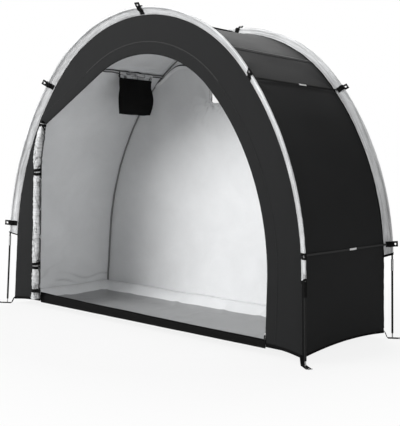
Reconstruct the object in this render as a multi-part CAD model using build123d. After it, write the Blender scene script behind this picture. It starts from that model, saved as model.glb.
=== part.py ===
from build123d import *
import os
from math import atan2, cos, hypot, radians, sin, sqrt, tan

os.makedirs("parts", exist_ok=True)

# Overall layout, in millimetres: X across the front, Y to the rear, Z up
foot_spacing = 2000.0
seam_depth = 731.0
arch_height = 1533.0

# Arch line, on the outer face of the cloth: leaning legs, haunches and a tighter crown
leg_lean = 2.8
leg_height = 390.0
crown_start = 41.5
right_cross_seam_angle = 51.0
left_cross_seam_angle = 47.5

# Cloth, its seams and hems
cloth = 2.0
seam_gap = 0.3
cut_overrun = 50.0
hem_corner_height = 26.0
hem_rise = 19.0

# Pole sleeves: fins that lean away from the cabin, with a tunnel along the outer edge
fin_width = 40.6
fin_lean = 37.2
sleeve_cloth = 1.6
sleeve_end_drop = 5.0

# Poles, their ferrules, lower rods and foot pins
pole_radius = 4.0
pole_clearance = 0.3
ferrule_wall = 0.9
ferrule_length = 55.0
pin_radius = 3.0
pin_length = 24.0

# Doorway in the front, and its sill
header_height = 182.0
right_jamb_width = 189.5
left_jamb_width = 224.0
door_spring_height = 311.0
door_crown_start = 45.4
door_slope = 31.5
sill_thickness = 3.0
sill_top = 78.0

# Floor sheet: a shallow tray, with flanges that rise to the hems
floor_rim = 45.0
floor_flange = 150.0

# Door, rolled up and tied beside the doorway
roll_radius = 25.0
roll_inset = 3.0
roll_foot = 52.0
roll_bend_drop = 185.0
roll_bend_radius = 300.0
roll_bend = 15.0
roll_top_length = 130.0
tie_thickness = 1.5
tie_height = 18.0
tie_pair_spacing = 24.0
tie_upper_drop = 59.0
tie_middle_height = 242.0
tie_lower_height = 97.0

# Pocket that hangs inside from the left cross seam
pocket_drop = 3.0
pocket_front = 3.0
pocket_width = 262.0
pocket_height = 195.0
pocket_thickness = 4.0
pocket_band = 37.0

# Window in the back
window_width = 312.0
window_height = 210.0
window_drop = 162.0
window_corner = 18.0
pane_lap = 12.0
pane_thickness = 1.0

# Guy tabs on the sleeves, with an eyelet at the outer end
tab_width = 24.0
tab_thickness = 2.0
tab_start = 4.0
tab_step_angle = 45.0
tab_reach = 20.0
tab_eyelet_radius = 4.5
tab_eyelet_inset = 12.0
tab_lower_angle = 5.5
tab_upper_angle = 38.2

# Tie straps from arch to arch, and the reflectors on them
strap_width = 10.0
strap_thickness = 2.0
strap_offset = 11.0
reflector_length = 60.0
reflector_setback = 50.0
reflector_thickness = 0.8

# Foot straps: from the cloth's corners, under the poles, to a peg eyelet
foot_strap_width = 25.0
foot_strap_thickness = 2.5
foot_strap_root_height = 36.0
foot_strap_bend = 22.0
foot_strap_tail = 50.0
peg_eyelet_radius = 5.0
peg_eyelet_inset = 14.0
pin_clearance = 0.6

# What follows from the driving sizes
leg_angle = radians(leg_lean)
lean_angle = radians(fin_lean)
half_depth = seam_depth / 2
fin_out = fin_width * cos(lean_angle)
fin_root_gap = seam_gap + sleeve_cloth / 2 * cos(lean_angle)
fin_forward = fin_root_gap + fin_width * sin(lean_angle)
sleeve_radius = pole_radius + pole_clearance + sleeve_cloth
sleeve_end_height = leg_height - sleeve_end_drop
foot_half = foot_spacing / 2
base_half = foot_half - fin_out / cos(leg_angle)


class ThreeCentreArch:
    """Half an arch: a haunch that starts tangent to a leaning leg, and a crown that meets it."""

    def __init__(self, start_x, start_z, start_lean, crown_from, height):
        self.start, self.join = start_lean, crown_from
        low, high = radians(start_lean), radians(crown_from)
        flat = (1 - sin(high)) / cos(high)
        rise = height - start_z - flat * start_x
        self.haunch = rise / (sin(high) - sin(low) - flat * (cos(low) - cos(high)))
        self.crown = (start_x - self.haunch * (cos(low) - cos(high))) / cos(high)
        self.haunch_x = start_x - self.haunch * cos(low)
        self.haunch_z = start_z - self.haunch * sin(low)
        self.crown_z = height - self.crown

    def point(self, angle, offset=0):
        """A point beside the arch, where the way out from it has this angle above the level."""
        turn = radians(angle)
        if angle <= self.join:
            reach = self.haunch + offset
            return (self.haunch_x + reach * cos(turn), self.haunch_z + reach * sin(turn))
        reach = self.crown + offset
        return (reach * cos(turn), self.crown_z + reach * sin(turn))

    def half_width(self, height, offset):
        """Distance from the middle to the arch at this height."""
        if height <= self.point(self.join, offset)[1]:
            return self.haunch_x + sqrt((self.haunch + offset) ** 2 - (height - self.haunch_z) ** 2)
        return sqrt((self.crown + offset) ** 2 - (height - self.crown_z) ** 2)


upright = 90
leg_top_x = base_half - leg_height * tan(leg_angle)
arch = ThreeCentreArch(leg_top_x, leg_height, leg_lean, crown_start, arch_height)
right_seam_height = arch.point(right_cross_seam_angle)[1]
left_seam_height = arch.point(left_cross_seam_angle)[1]
door_left = base_half - left_jamb_width
door_right = base_half - right_jamb_width
door_arch = ThreeCentreArch(door_right, door_spring_height, 0, door_crown_start, arch_height - header_height)


def flip(point):
    """The same point on the other side of the middle."""
    return (-point[0], point[1])


def arch_face(offset):
    """The area under the arch, with the arch moved out by the offset."""
    foot = (base_half + offset / cos(leg_angle), 0)
    start = arch.point(leg_lean, offset)
    middle = arch.point((leg_lean + crown_start) / 2, offset)
    end = arch.point(crown_start, offset)
    return make_face([
        Line(flip(foot), foot),
        Line(foot, start),
        ThreePointArc(start, middle, end),
        ThreePointArc(end, arch.point(upright, offset), flip(end)),
        ThreePointArc(flip(end), flip(middle), flip(start)),
        Line(flip(start), flip(foot)),
    ])


def front_view(y):
    """Plane that shows X to the right and Z up, at this depth."""
    return Plane(origin=(0, y, 0), x_dir=(1, 0, 0), z_dir=(0, -1, 0))


def slab(face, y_low, y_high):
    """A front-view face given depth from y_low to y_high."""
    return extrude(front_view(y_low) * face, amount=y_high - y_low, dir=(0, 1, 0))


def block(low, high):
    """A box between two corners."""
    size = [b - a for a, b in zip(low, high)]
    centre = [(a + b) / 2 for a, b in zip(low, high)]
    return Pos(*centre) * Box(*size)


def hem_area(half_span):
    """What lies below a hem that rises a little between two corners."""
    low = -cut_overrun
    side = half_span + cut_overrun
    left = (-half_span, hem_corner_height)
    right = (half_span, hem_corner_height)
    return make_face([
        ThreePointArc(left, (0, hem_corner_height + hem_rise), right),
        Line(right, (side, hem_corner_height)),
        Line((side, hem_corner_height), (side, low)),
        Line((side, low), (-side, low)),
        Line((-side, low), (-side, hem_corner_height)),
        Line((-side, hem_corner_height), left),
    ])


def front_to_rear(shape):
    """The rear twin of a piece at the front."""
    return mirror(shape, about=Plane.XZ)


def right_to_left(shape):
    """The left twin of a piece at the right."""
    return mirror(shape, about=Plane.YZ)


def save(name, shape):
    """Write one piece."""
    export_step(shape, f"parts/{name}.step")


# Roof and ends: one strip of cloth over the arch, sewn from three panels
def strip_panels():
    reach = half_depth + cut_overrun
    outer = slab(arch_face(0), -half_depth, half_depth)
    strip = outer - slab(arch_face(-cloth), -reach, reach)
    far = foot_spacing
    end_hems = Plane.YZ * hem_area(half_depth)
    strip = strip - extrude(end_hems, amount=far, both=True)
    above = arch_height + cut_overrun
    half_gap = seam_gap / 2
    left_top = block((-far, -reach, left_seam_height + half_gap), (0, reach, above))
    right_top = block((0, -reach, right_seam_height + half_gap), (far, reach, above))
    save("roof_top_panel", strip & (left_top + right_top))
    save("right_end_panel", strip & block((0, -reach, 0), (far, reach, right_seam_height - half_gap)))
    save("left_end_panel", strip & block((-far, -reach, 0), (0, reach, left_seam_height - half_gap)))


# Doorway: upright right edge, haunch and crown beside the arch, and a straight slope to the left
def doorway_corner():
    """Where the slope starts on the crown, and where it ends at the left jamb."""
    start = flip(door_arch.point(upright - door_slope))
    return start, (-door_left, start[1] - (door_left + start[0]) * tan(radians(door_slope)))


def doorway_face():
    spring = door_arch.point(0)
    middle = door_arch.point(door_crown_start / 2)
    end = door_arch.point(door_crown_start)
    slope_top, corner = doorway_corner()
    return make_face([
        Line((door_right, 0), spring),
        ThreePointArc(spring, middle, end),
        ThreePointArc(end, door_arch.point(upright), slope_top),
        Line(slope_top, corner),
        Line(corner, (-door_left, 0)),
        Line((-door_left, 0), (door_right, 0)),
    ])


def wall_face():
    """The flat wall that fills an arch, down to its hem."""
    return arch_face(-cloth - seam_gap) - hem_area(base_half)


def front_panels():
    wall = slab(wall_face() - doorway_face(), -half_depth, -half_depth + cloth)
    corner_z = doorway_corner()[1][1]
    far = foot_spacing
    low = corner_z - seam_gap / 2
    high = corner_z + seam_gap / 2
    save("front_header_panel", wall & block((-far, -far, high), (far, far, arch_height)))
    save("front_left_panel", wall & block((-far, -far, 0), (0, far, low)))
    save("front_right_panel", wall & block((0, -far, 0), (far, far, low)))
    sill_low = (-door_left + seam_gap, -half_depth, floor_rim + seam_gap)
    sill_high = (door_right - seam_gap, -half_depth + sill_thickness, sill_top)
    save("door_sill", block(sill_low, sill_high))


# Back wall with its window, and the clear film behind it
def back_wall():
    centre = (0, arch_height - window_drop - window_height / 2)
    window = Pos(*centre) * RectangleRounded(window_width, window_height, window_corner)
    lapped = (window_width + 2 * pane_lap, window_height + 2 * pane_lap)
    pane = Pos(*centre) * RectangleRounded(*lapped, window_corner)
    save("back_panel", slab(wall_face() - window, half_depth - cloth, half_depth))
    pane_rear = half_depth - cloth - seam_gap
    save("back_window_pane", slab(pane, pane_rear - pane_thickness, pane_rear))


# Floor sheet
def floor_sheet():
    rim_x = base_half - floor_rim * tan(leg_angle) - cloth / cos(leg_angle) - seam_gap
    rim_y = half_depth - cloth - seam_gap
    bottom = Rectangle(2 * (rim_x - floor_flange), 2 * (rim_y - floor_flange))
    rim = Pos(0, 0, floor_rim) * Rectangle(2 * rim_x, 2 * rim_y)
    solid = loft([bottom, rim])
    save("floor_sheet", offset(solid, amount=-cloth, openings=solid.faces().sort_by(Axis.Z)[-1]))


# Sections that follow the front arch: X is outwards from the arch line, Y is the depth
def section_plane(angle):
    """Plane across the front arch line, where the way out has this angle above the level."""
    turn = radians(angle)
    x, z = arch.point(angle)
    return Plane(origin=(x, -half_depth, z), x_dir=(cos(turn), 0, sin(turn)), z_dir=(-sin(turn), 0, cos(turn)))


def leg_run(section, high, low):
    """A section carried down the right leg, between two heights."""
    drop = (leg_height - high) / cos(leg_angle)
    plane = section_plane(leg_lean).offset(-drop)
    return extrude(plane * section, amount=-(high - low) / cos(leg_angle))


def arch_run(section, low):
    """A section carried over the whole arch, down to this height on both legs."""
    haunch_axis = Axis((arch.haunch_x, 0, arch.haunch_z), (0, -1, 0))
    crown_axis = Axis((0, 0, arch.crown_z), (0, -1, 0))
    haunch = revolve(section_plane(leg_lean) * section, haunch_axis, crown_start - leg_lean)
    crown = revolve(section_plane(crown_start) * section, crown_axis, 2 * (upright - crown_start))
    side = haunch + leg_run(section, leg_height, low)
    return side + crown + right_to_left(side)


pole_place = Pos(fin_out, -fin_forward)


def sleeve_section():
    """A fin of cloth with a round tunnel at its tip."""
    web_middle = Pos(fin_out / 2, -(fin_root_gap + fin_forward) / 2)
    web = web_middle * Rot(0, 0, -fin_lean) * Rectangle(fin_width, sleeve_cloth)
    return web + pole_place * Circle(sleeve_radius) - pole_place * Circle(pole_radius + pole_clearance)


# Poles and sleeves, at the front and at the rear
def poles_and_sleeves():
    rod = pole_place * Circle(pole_radius)
    bore_radius = pole_radius + pole_clearance
    tube = pole_place * Circle(bore_radius + ferrule_wall) - pole_place * Circle(bore_radius)
    pin = pole_place * Circle(pin_radius)
    ferrule_high = sleeve_end_height - seam_gap
    joint_z = ferrule_high - ferrule_length / 2
    far = foot_spacing
    above_ground = block((-far, -far, 0), (far, far, arch_height))
    bent_pole = arch_run(rod, joint_z)
    sleeve = arch_run(sleeve_section(), sleeve_end_height)
    leg = leg_run(rod, joint_z - seam_gap, pin_length)
    ferrule = leg_run(tube, ferrule_high, ferrule_high - ferrule_length)
    foot_pin = leg_run(pin, pin_length, -pin_radius) & above_ground
    save("front_pole_arch", bent_pole)
    save("rear_pole_arch", front_to_rear(bent_pole))
    save("front_sleeve", sleeve)
    save("rear_sleeve", front_to_rear(sleeve))
    save("front_right_pole_leg", leg)
    save("front_left_pole_leg", right_to_left(leg))
    save("rear_right_pole_leg", front_to_rear(leg))
    save("rear_left_pole_leg", front_to_rear(right_to_left(leg)))
    save("pole_ferrules", Compound(children=four_corners(ferrule)))
    save("pole_foot_pins", Compound(children=four_corners(foot_pin)))


def four_corners(piece):
    """A piece at the front right, and its twins at the other three corners."""
    front = [piece, right_to_left(piece)]
    return front + [front_to_rear(twin) for twin in front]


# Door, rolled up, with its ties
def rolled_door():
    roll_y = -half_depth - 2 * seam_gap - tie_thickness - roll_radius
    roll_x = -door_left - roll_inset
    roll_straight_top = doorway_corner()[1][1] - roll_bend_drop
    foot = Plane(origin=(roll_x, roll_y, roll_foot))
    head = Plane(origin=(roll_x, roll_y, roll_straight_top))
    bend_axis = Axis((roll_x + roll_bend_radius, roll_y, roll_straight_top), (0, 1, 0))
    straight = extrude(foot * Circle(roll_radius), amount=roll_straight_top - roll_foot)
    bend = revolve(head * Circle(roll_radius), bend_axis, roll_bend)
    top = extrude(bend.faces().sort_by(Axis.Z)[-1], amount=roll_top_length)
    save("rolled_door", straight + bend + top)
    ring = Circle(roll_radius + seam_gap + tie_thickness) - Circle(roll_radius + seam_gap)

    def tie(height):
        plane = Plane(origin=(roll_x, roll_y, height - tie_height / 2))
        return extrude(plane * ring, amount=tie_height)

    tie_upper_height = roll_straight_top - tie_upper_drop
    for name, height in (("upper", tie_upper_height), ("middle", tie_middle_height)):
        pair = [tie(height - tie_pair_spacing / 2), tie(height + tie_pair_spacing / 2)]
        save(f"door_tie_{name}", Compound(children=pair))
    save("door_tie_lower", tie(tie_lower_height))


# Pocket inside: a band sewn under the left cross seam, and the pouch below it
def hanging_pocket():
    band_top = left_seam_height - pocket_drop
    outer_x = arch.half_width(band_top, -cloth - seam_gap)
    middle_x = outer_x - pocket_thickness / 2
    pouch_top = band_top - pocket_band
    rear = pocket_front + pocket_width
    band_low = (-middle_x - cloth / 2, pocket_front, pouch_top + seam_gap)
    save("pocket_band", block(band_low, (-middle_x + cloth / 2, rear, band_top)))
    pouch_low = (-outer_x, pocket_front, pouch_top - pocket_height)
    save("hanging_pocket", block(pouch_low, (-outer_x + pocket_thickness, rear, pouch_top)))


# Guy tabs and tie straps: at the crown, and low and high on both haunches
def both_sides_and_ridge(piece_at):
    """A piece at the ridge, and at the upper and lower places on the right and the left."""
    right = [piece_at(section_plane(angle)) for angle in (tab_upper_angle, tab_lower_angle)]
    return [piece_at(section_plane(upright))] + right + [right_to_left(piece) for piece in right]


def along_fin(run, lift):
    """Section place at a run along the fin, lifted from its outer face's side."""
    x = run * cos(lean_angle) - lift * sin(lean_angle)
    y = -fin_root_gap - run * sin(lean_angle) - lift * cos(lean_angle)
    return (x, y)


def guy_tab(plane):
    """Webbing sewn on the fin, over the tunnel and out past it, with an eyelet."""
    step = radians(tab_step_angle)
    low = sleeve_cloth / 2 + seam_gap
    high = sleeve_radius + seam_gap
    step_top = fin_width - high * tan(step / 2)
    step_foot = step_top - (high - low) / tan(step)
    end = fin_width + sleeve_radius + tab_reach
    back = tab_thickness * tan(step / 2)
    inner = [(tab_start, low), (step_foot, low), (step_top, high), (end, high)]
    outer = [
        (end, high + tab_thickness),
        (step_top - back, high + tab_thickness),
        (step_foot - back, low + tab_thickness),
        (tab_start, low + tab_thickness),
    ]
    corners = [along_fin(*corner) for corner in inner + outer]
    strip = extrude(plane * make_face(Polyline(*corners, close=True)), amount=tab_width / 2, both=True)
    eye = along_fin(end - tab_eyelet_inset, high + tab_thickness / 2)
    drill_plane = Plane(
        origin=plane.from_local_coords((eye[0], eye[1], 0)),
        x_dir=plane.z_dir,
        z_dir=plane.from_local_coords((-sin(lean_angle), -cos(lean_angle), 0)) - plane.origin,
    )
    return strip - extrude(drill_plane * Circle(tab_eyelet_radius), amount=tab_width, both=True)


def tie_strap(plane):
    """Webbing pulled straight from fin to fin, just above the cloth."""
    reach = half_depth + fin_root_gap + strap_offset * tan(lean_angle)
    reach = reach - sleeve_cloth / 2 / cos(lean_angle) - seam_gap
    place = Pos(strap_offset + strap_thickness / 2, half_depth)
    return extrude(plane * place * Rectangle(strap_thickness, 2 * reach), amount=strap_width / 2, both=True)


def reflector(plane):
    """A patch on a tie strap, a little behind its middle."""
    lift = strap_offset + strap_thickness + seam_gap + reflector_thickness / 2
    place = Pos(lift, half_depth + reflector_setback)
    patch = plane * place * Rectangle(reflector_thickness, reflector_length)
    return extrude(patch, amount=strap_width / 2, both=True)


def tabs_and_straps():
    tabs = both_sides_and_ridge(guy_tab)
    save("front_guy_tabs", Compound(children=tabs))
    save("rear_guy_tabs", Compound(children=[front_to_rear(tab) for tab in tabs]))
    places = ("ridge", "right_upper", "right_lower", "left_upper", "left_lower")
    for place, strap in zip(places, both_sides_and_ridge(tie_strap)):
        save(f"{place}_tie_strap", strap)
    save("strap_reflectors", Compound(children=both_sides_and_ridge(reflector)))


# Foot straps
def foot_straps():
    corner_x = base_half - hem_corner_height * tan(leg_angle)
    run_x = foot_half - corner_x
    run = hypot(run_x, fin_forward)
    side = Plane(
        origin=(corner_x, -half_depth, 0),
        x_dir=(run_x, -fin_forward, 0),
        z_dir=(-fin_forward, -run_x, 0),
    )
    root = (seam_gap, foot_strap_root_height)
    bend = (run - foot_strap_bend, foot_strap_thickness)
    end = run + foot_strap_tail
    slope = atan2(root[1] - bend[1], bend[0] - root[0])
    under = foot_strap_thickness * tan(slope / 2)
    across = foot_strap_thickness / cos(slope)
    profile = Polyline(
        root,
        bend,
        (end, foot_strap_thickness),
        (end, 0),
        (bend[0] - under, 0),
        (root[0], root[1] - across),
        close=True,
    )
    strap = extrude(side * make_face(profile), amount=foot_strap_width / 2, both=True)
    peg = (end - peg_eyelet_inset) / run
    peg_place = Pos(corner_x + run_x * peg, -half_depth - fin_forward * peg, 0)
    pin_place = Pos(foot_half, -half_depth - fin_forward, 0)
    strap = strap - peg_place * Cylinder(peg_eyelet_radius, cut_overrun)
    strap = strap - pin_place * Cylinder(pin_radius + pin_clearance, cut_overrun)
    corners = ("front_right", "front_left", "rear_right", "rear_left")
    for corner, twin in zip(corners, four_corners(strap)):
        save(f"{corner}_foot_strap", twin)


strip_panels()
front_panels()
back_wall()
floor_sheet()
poles_and_sleeves()
rolled_door()
hanging_pocket()
tabs_and_straps()
foot_straps()
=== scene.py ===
from math import atan2, cos, hypot, pi, radians, sin, tan

import bpy
import numpy as np
from mathutils import Matrix, Vector


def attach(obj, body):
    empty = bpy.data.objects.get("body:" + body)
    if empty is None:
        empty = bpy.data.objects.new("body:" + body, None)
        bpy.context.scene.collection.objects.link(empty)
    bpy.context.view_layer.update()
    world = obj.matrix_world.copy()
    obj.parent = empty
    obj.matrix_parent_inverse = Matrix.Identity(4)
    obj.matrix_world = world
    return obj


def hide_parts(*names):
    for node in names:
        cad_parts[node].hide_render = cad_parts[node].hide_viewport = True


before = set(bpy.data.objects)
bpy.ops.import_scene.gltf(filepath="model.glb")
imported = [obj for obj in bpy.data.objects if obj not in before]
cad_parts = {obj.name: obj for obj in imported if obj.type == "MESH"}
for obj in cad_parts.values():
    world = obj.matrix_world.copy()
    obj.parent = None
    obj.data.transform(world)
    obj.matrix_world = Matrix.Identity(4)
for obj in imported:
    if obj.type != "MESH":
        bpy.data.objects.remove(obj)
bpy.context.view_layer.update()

# Sizes in metres, as the part's source has them but for the tabs, sleeve ends, roll's foot and lower tie
foot_half = 1.0
half_depth = 0.3655
arch_top = 1.533
leg_lean = radians(2.8)
leg_top = 0.390
crown_start = radians(41.5)
cross_seam_angles = {-1: radians(47.5), 1: radians(51)}
hem_corner = 0.026
hem_rise = 0.019
fin_width = 0.0406
fin_lean = radians(37.2)
fin_root_gap = 0.00094
tunnel_radius = 0.0059
sleeve_ends = {-1: (0.404, 0.360), 1: (0.400, 0.412)}
sleeve_girth = 0.103
tunnel_pinch = radians(20)
cloth_thick = 0.0009
small_stitch = (0.0028, 0.0008, 0.0006)
door_left = 0.7436
door_right = 0.7781
foot_left = 0.0425
foot_right = 0.0490
door_top = 1.351
door_spring = 0.311
door_crown_start = radians(45.4)
door_slope = radians(31.5)
sill_top = 0.078
floor_rim = 0.045
floor_flange = 0.150
roll_radius = 0.0235
roll_x = -0.7466
roll_y = -0.3926
roll_foot = 0.062
roll_straight_top = 0.812
roll_bend_radius = 0.300
roll_bend = radians(15)
roll_top_length = 0.130
tie_heights = {"upper": 0.753, "middle": 0.242, "lower": 0.106}
tab_angles = {"ridge": radians(90), "upper": radians(38.2), "lower": radians(5.5)}
tab_width = 0.027
tab_reach = 0.024
strap_lift = 0.0118
strap_width = 0.010
window_half = 0.156
window_low = 1.161
window_high = 1.371
window_corner = 0.018
pocket_x = -0.5325
pocket_front = 0.003
pocket_width = 0.262
pocket_low = 1.0906
pocket_high = 1.2856


# Shader sums
class Shade:
    """A value on its way through a material. Sums on it add Math nodes."""

    def __init__(self, recipe, socket):
        self.recipe = recipe
        self.socket = socket

    def math(self, operation, first, second=0.0):
        return self.recipe.node("ShaderNodeMath", {"operation": operation}, {0: first, 1: second})

    def __add__(self, other):
        return self.math("ADD", self, other)

    def __radd__(self, other):
        return self.math("ADD", other, self)

    def __sub__(self, other):
        return self.math("SUBTRACT", self, other)

    def __mul__(self, other):
        return self.math("MULTIPLY", self, other)

    def __rmul__(self, other):
        return self.math("MULTIPLY", other, self)

    def __abs__(self):
        return self.math("ABSOLUTE", self)

    def sine(self):
        return self.math("SINE", self)

    def most(self, other):
        return self.math("MAXIMUM", self, other)

    def least(self, other):
        return self.math("MINIMUM", self, other)


class Recipe:
    """A node tree being mixed, for a material or the world."""

    def __init__(self, tree):
        self.tree = tree
        self.tree.nodes.clear()

    def node(self, kind, settings=None, sockets=None, out=0):
        node = self.tree.nodes.new(kind)
        for key, value in (settings or {}).items():
            setattr(node, key, value)
        for key, value in (sockets or {}).items():
            if isinstance(value, Shade):
                self.tree.links.new(value.socket, node.inputs[key])
            else:
                node.inputs[key].default_value = value
        return Shade(self, node.outputs[out]) if node.outputs else None

    def places(self):
        """Object coordinates."""
        return self.node("ShaderNodeTexCoord", {}, {}, "Object")

    def flat(self):
        """Lengths along and across the cloth."""
        spot = self.node("ShaderNodeUVMap", {"uv_map": "cloth"}, {}, "UV")
        split = self.node("ShaderNodeSeparateXYZ", {}, {0: spot})
        return split, Shade(self, split.socket.node.outputs[1])

    def noise(self, scale, detail=2.0, rough=0.5, warp=0.0, spot=None):
        sockets = {"Vector": spot or self.places(), "Scale": scale, "Detail": detail}
        sockets["Roughness"] = rough
        sockets["Distortion"] = warp
        return self.node("ShaderNodeTexNoise", {}, sockets)

    def blend(self, share, first, second):
        """One colour going over into another."""
        settings = {"data_type": "RGBA"}
        return self.node("ShaderNodeMix", settings, {0: share, 6: first, 7: second}, 2)

    def surface(self, sockets, height=None, depth=0.0003):
        if height is not None:
            bump = {"Strength": 1.0, "Distance": depth, "Height": height}
            sockets["Normal"] = self.node("ShaderNodeBump", {}, bump)
        shader = self.node("ShaderNodeBsdfPrincipled", {}, sockets)
        self.node("ShaderNodeOutputMaterial", {}, {"Surface": shader})


def grey(level, tint=0.0):
    """A linear grey, a little cooler with tint."""
    return (level * (1 - tint), level, level * (1 + tint), 1.0)


def new_finish(name):
    material = bpy.data.materials.new(name)
    material.use_nodes = True
    return material, Recipe(material.node_tree)


def woven(mix, thread):
    """Height of a plain weave, from -1 to 1."""
    along, across = mix.flat()
    return (along * (2 * pi / thread)).sine() * (across * (2 * pi / thread)).sine()


def cloth_finish(name, dark, light, rough, thread, weave_depth, gloss, metal=0.0, crinkle=0.0, fold_shade=0.0,
                 streaks=0.0):
    """A woven, coated cloth: unevenness, rubbed specks, fine creases, long streaks and painted shade in its
    folds.
    """
    material, mix = new_finish(name)
    weave = woven(mix, thread)
    clouds = mix.noise(4.5, 4.0, 0.6, 0.4)
    specks = mix.noise(260.0, 2.0, 0.7)
    creases = mix.noise(38.0, 5.0, 0.62, 1.2)
    worn = (clouds - 0.5) * 0.9 + (specks - 0.5) * 0.5 + weave * 0.12 + 0.5
    if streaks:
        along, across = mix.flat()
        spot = mix.node("ShaderNodeCombineXYZ", {}, {0: along * 5.0, 1: across * 95.0})
        worn = worn + (mix.noise(1.0, 3.0, 0.6, 0.8, spot) - 0.5) * streaks
    tone = mix.blend(worn, dark, light)
    # Painted shade: where the fold attribute marks a crease, the colour is darkened towards a much darker
    # grey, as if shaded.
    if fold_shade:
        fold = mix.node("ShaderNodeAttribute", {"attribute_name": "fold"}, {}, "Fac")
        tone = mix.blend(fold * fold_shade, tone, grey(dark[1] * 0.16))
    sockets = {
        "Base Color": tone,
        "Roughness": rough + (clouds - 0.5) * 0.16 - weave * 0.03,
        "Metallic": metal,
        "Specular IOR Level": gloss,
    }
    height = weave * weave_depth + creases * crinkle
    mix.surface(sockets, height, 0.001)
    return material


def webbing_finish(name, dark, light, rib):
    """Woven tape: ribs across it and a herringbone of threads."""
    material, mix = new_finish(name)
    along, across = mix.flat()
    ribs = (along * (2 * pi / rib)).sine()
    threads = (along * (pi / rib) + abs(across * (2 * pi / rib * 0.6))).sine()
    fluff = mix.noise(320.0, 3.0, 0.7)
    sockets = {
        "Base Color": mix.blend(fluff * 0.7 + threads * 0.15 + 0.1, dark, light),
        "Roughness": 0.82 + ribs * 0.06,
        "Specular IOR Level": 0.06,
    }
    mix.surface(sockets, ribs * 0.25 + threads * 0.2 + fluff * 0.3, 0.0004)
    return material


def metal_finish(name, tone, rough, scratch):
    """Drawn metal with fine scratches and dulled patches."""
    material, mix = new_finish(name)
    stretch = mix.node("ShaderNodeMapping", {}, {"Vector": mix.places(), "Scale": (1.0, 1.0, 0.06)})
    lines = mix.noise(900.0, 2.0, 0.6, 0.0, stretch)
    dull = mix.noise(60.0, 4.0, 0.6)
    sockets = {
        "Base Color": mix.blend(dull, grey(tone * 0.8), grey(tone * 1.15)),
        "Roughness": rough + (dull - 0.5) * 0.2 + (lines - 0.5) * 0.15,
        "Metallic": 1.0,
    }
    mix.surface(sockets, lines, scratch)
    return material


def rod_finish():
    """Glass-fibre rod: black, lightly glossy, with fibres running up it."""
    material, mix = new_finish("fibre_rod")
    stretch = mix.node("ShaderNodeMapping", {}, {"Vector": mix.places(), "Scale": (1.0, 1.0, 0.03)})
    fibres = mix.noise(700.0, 3.0, 0.6, 0.0, stretch)
    dust = mix.noise(45.0, 4.0, 0.65)
    sockets = {
        "Base Color": mix.blend(fibres * 0.6 + dust * 0.4, grey(0.004), grey(0.014)),
        "Roughness": 0.62 + (dust - 0.5) * 0.2,
        "Specular IOR Level": 0.2,
    }
    mix.surface(sockets, fibres, 0.00015)
    return material


def film_finish():
    """Clear window film: nearly all see-through, with a soft ripple in its gloss."""
    material, mix = new_finish("clear_film")
    swell = mix.noise(14.0, 3.0, 0.5, 0.6)
    haze = mix.noise(90.0, 4.0, 0.6)
    sockets = {
        "Base Color": mix.blend(haze, grey(0.80), grey(0.92)),
        "Roughness": 0.10 + haze * 0.08,
        "Alpha": 0.06 + haze * 0.08,
    }
    mix.surface(sockets, swell, 0.002)
    return material


def reflector_finish():
    """White patch of tiny beads under a clear skin, ruled in a fine diamond grid."""
    material, mix = new_finish("reflective_patch")
    along, across = mix.flat()
    one = ((along + across) * (2 * pi / 0.0032)).sine()
    other = ((along - across) * (2 * pi / 0.0032)).sine()
    ruled = one.most(other)
    beads = mix.noise(900.0, 2.0, 0.6)
    sockets = {
        "Base Color": mix.blend(ruled * 0.25 + beads * 0.5, grey(0.70), grey(0.93)),
        "Roughness": 0.30 + beads * 0.15,
        "Coat Weight": 0.4,
    }
    mix.surface(sockets, ruled * 0.3 + beads * 0.2, 0.0003)
    return material


def thread_finish(name, dark, light):
    """Twisted sewing thread."""
    material, mix = new_finish(name)
    twist = mix.noise(1500.0, 2.0, 0.5)
    sockets = {"Base Color": mix.blend(twist, dark, light), "Roughness": 0.6 + twist * 0.15}
    mix.surface(sockets, twist, 0.0002)
    return material


def moulded_finish():
    """Black moulded plastic with a fine spark-eroded grain."""
    material, mix = new_finish("black_moulding")
    grain = mix.noise(1400.0, 2.0, 0.6)
    scuff = mix.noise(120.0, 4.0, 0.6)
    sockets = {
        "Base Color": mix.blend(scuff, grey(0.010), grey(0.030)),
        "Roughness": 0.42 + (scuff - 0.5) * 0.25,
    }
    mix.surface(sockets, grain, 0.00015)
    return material


charcoal = cloth_finish("charcoal_cloth", grey(0.007, 0.03), grey(0.015, 0.03), 0.80, 0.0012, 0.10, 0.20,
                        0.0, 0.35)
# Painted shade: the lining (0.75) and the roll's silver (0.9) darken their colour in marked folds.
lining = cloth_finish("silver_lining", grey(0.66, 0.01), grey(0.84, 0.01), 0.50, 0.0011, 0.06, 0.4,
                      0.10, 0.55, 0.75)
sleeve_silver = cloth_finish("silver_sleeve", grey(0.40, 0.01), grey(0.80, 0.01), 0.50, 0.0011, 0.08, 0.4,
                             0.15, 0.45, 0.0, 2.2)
roll_silver = cloth_finish("silver_roll", grey(0.30, 0.01), grey(0.76, 0.01), 0.46, 0.0011, 0.08, 0.5,
                           0.10, 3.20, 0.9, 1.6)
floor_grey = cloth_finish("floor_cloth", grey(0.26, 0.01), grey(0.38, 0.01), 0.52, 0.0014, 0.10, 0.5,
                          0.10, 0.50)
black_cloth = cloth_finish("black_cloth", grey(0.0015), grey(0.005), 0.78, 0.0012, 0.12, 0.12, 0.0, 0.40)
webbing = webbing_finish("black_webbing", grey(0.003), grey(0.011), 0.0016)
binding = webbing_finish("black_binding", grey(0.003), grey(0.010), 0.0011)
# Dark tape for the cross seams' inner cords, and the painted shadow strip under the back wall's pleat.
shadow_and_cord_tape = webbing_finish("cord_and_painted_shadow_tape", grey(0.016), grey(0.034), 0.0011)
# Paler tape painted as a highlight, on the header's flap piping and on the lower tie straps.
highlight_tape = webbing_finish("painted_highlight_piping", grey(0.030), grey(0.060), 0.0011)
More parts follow.
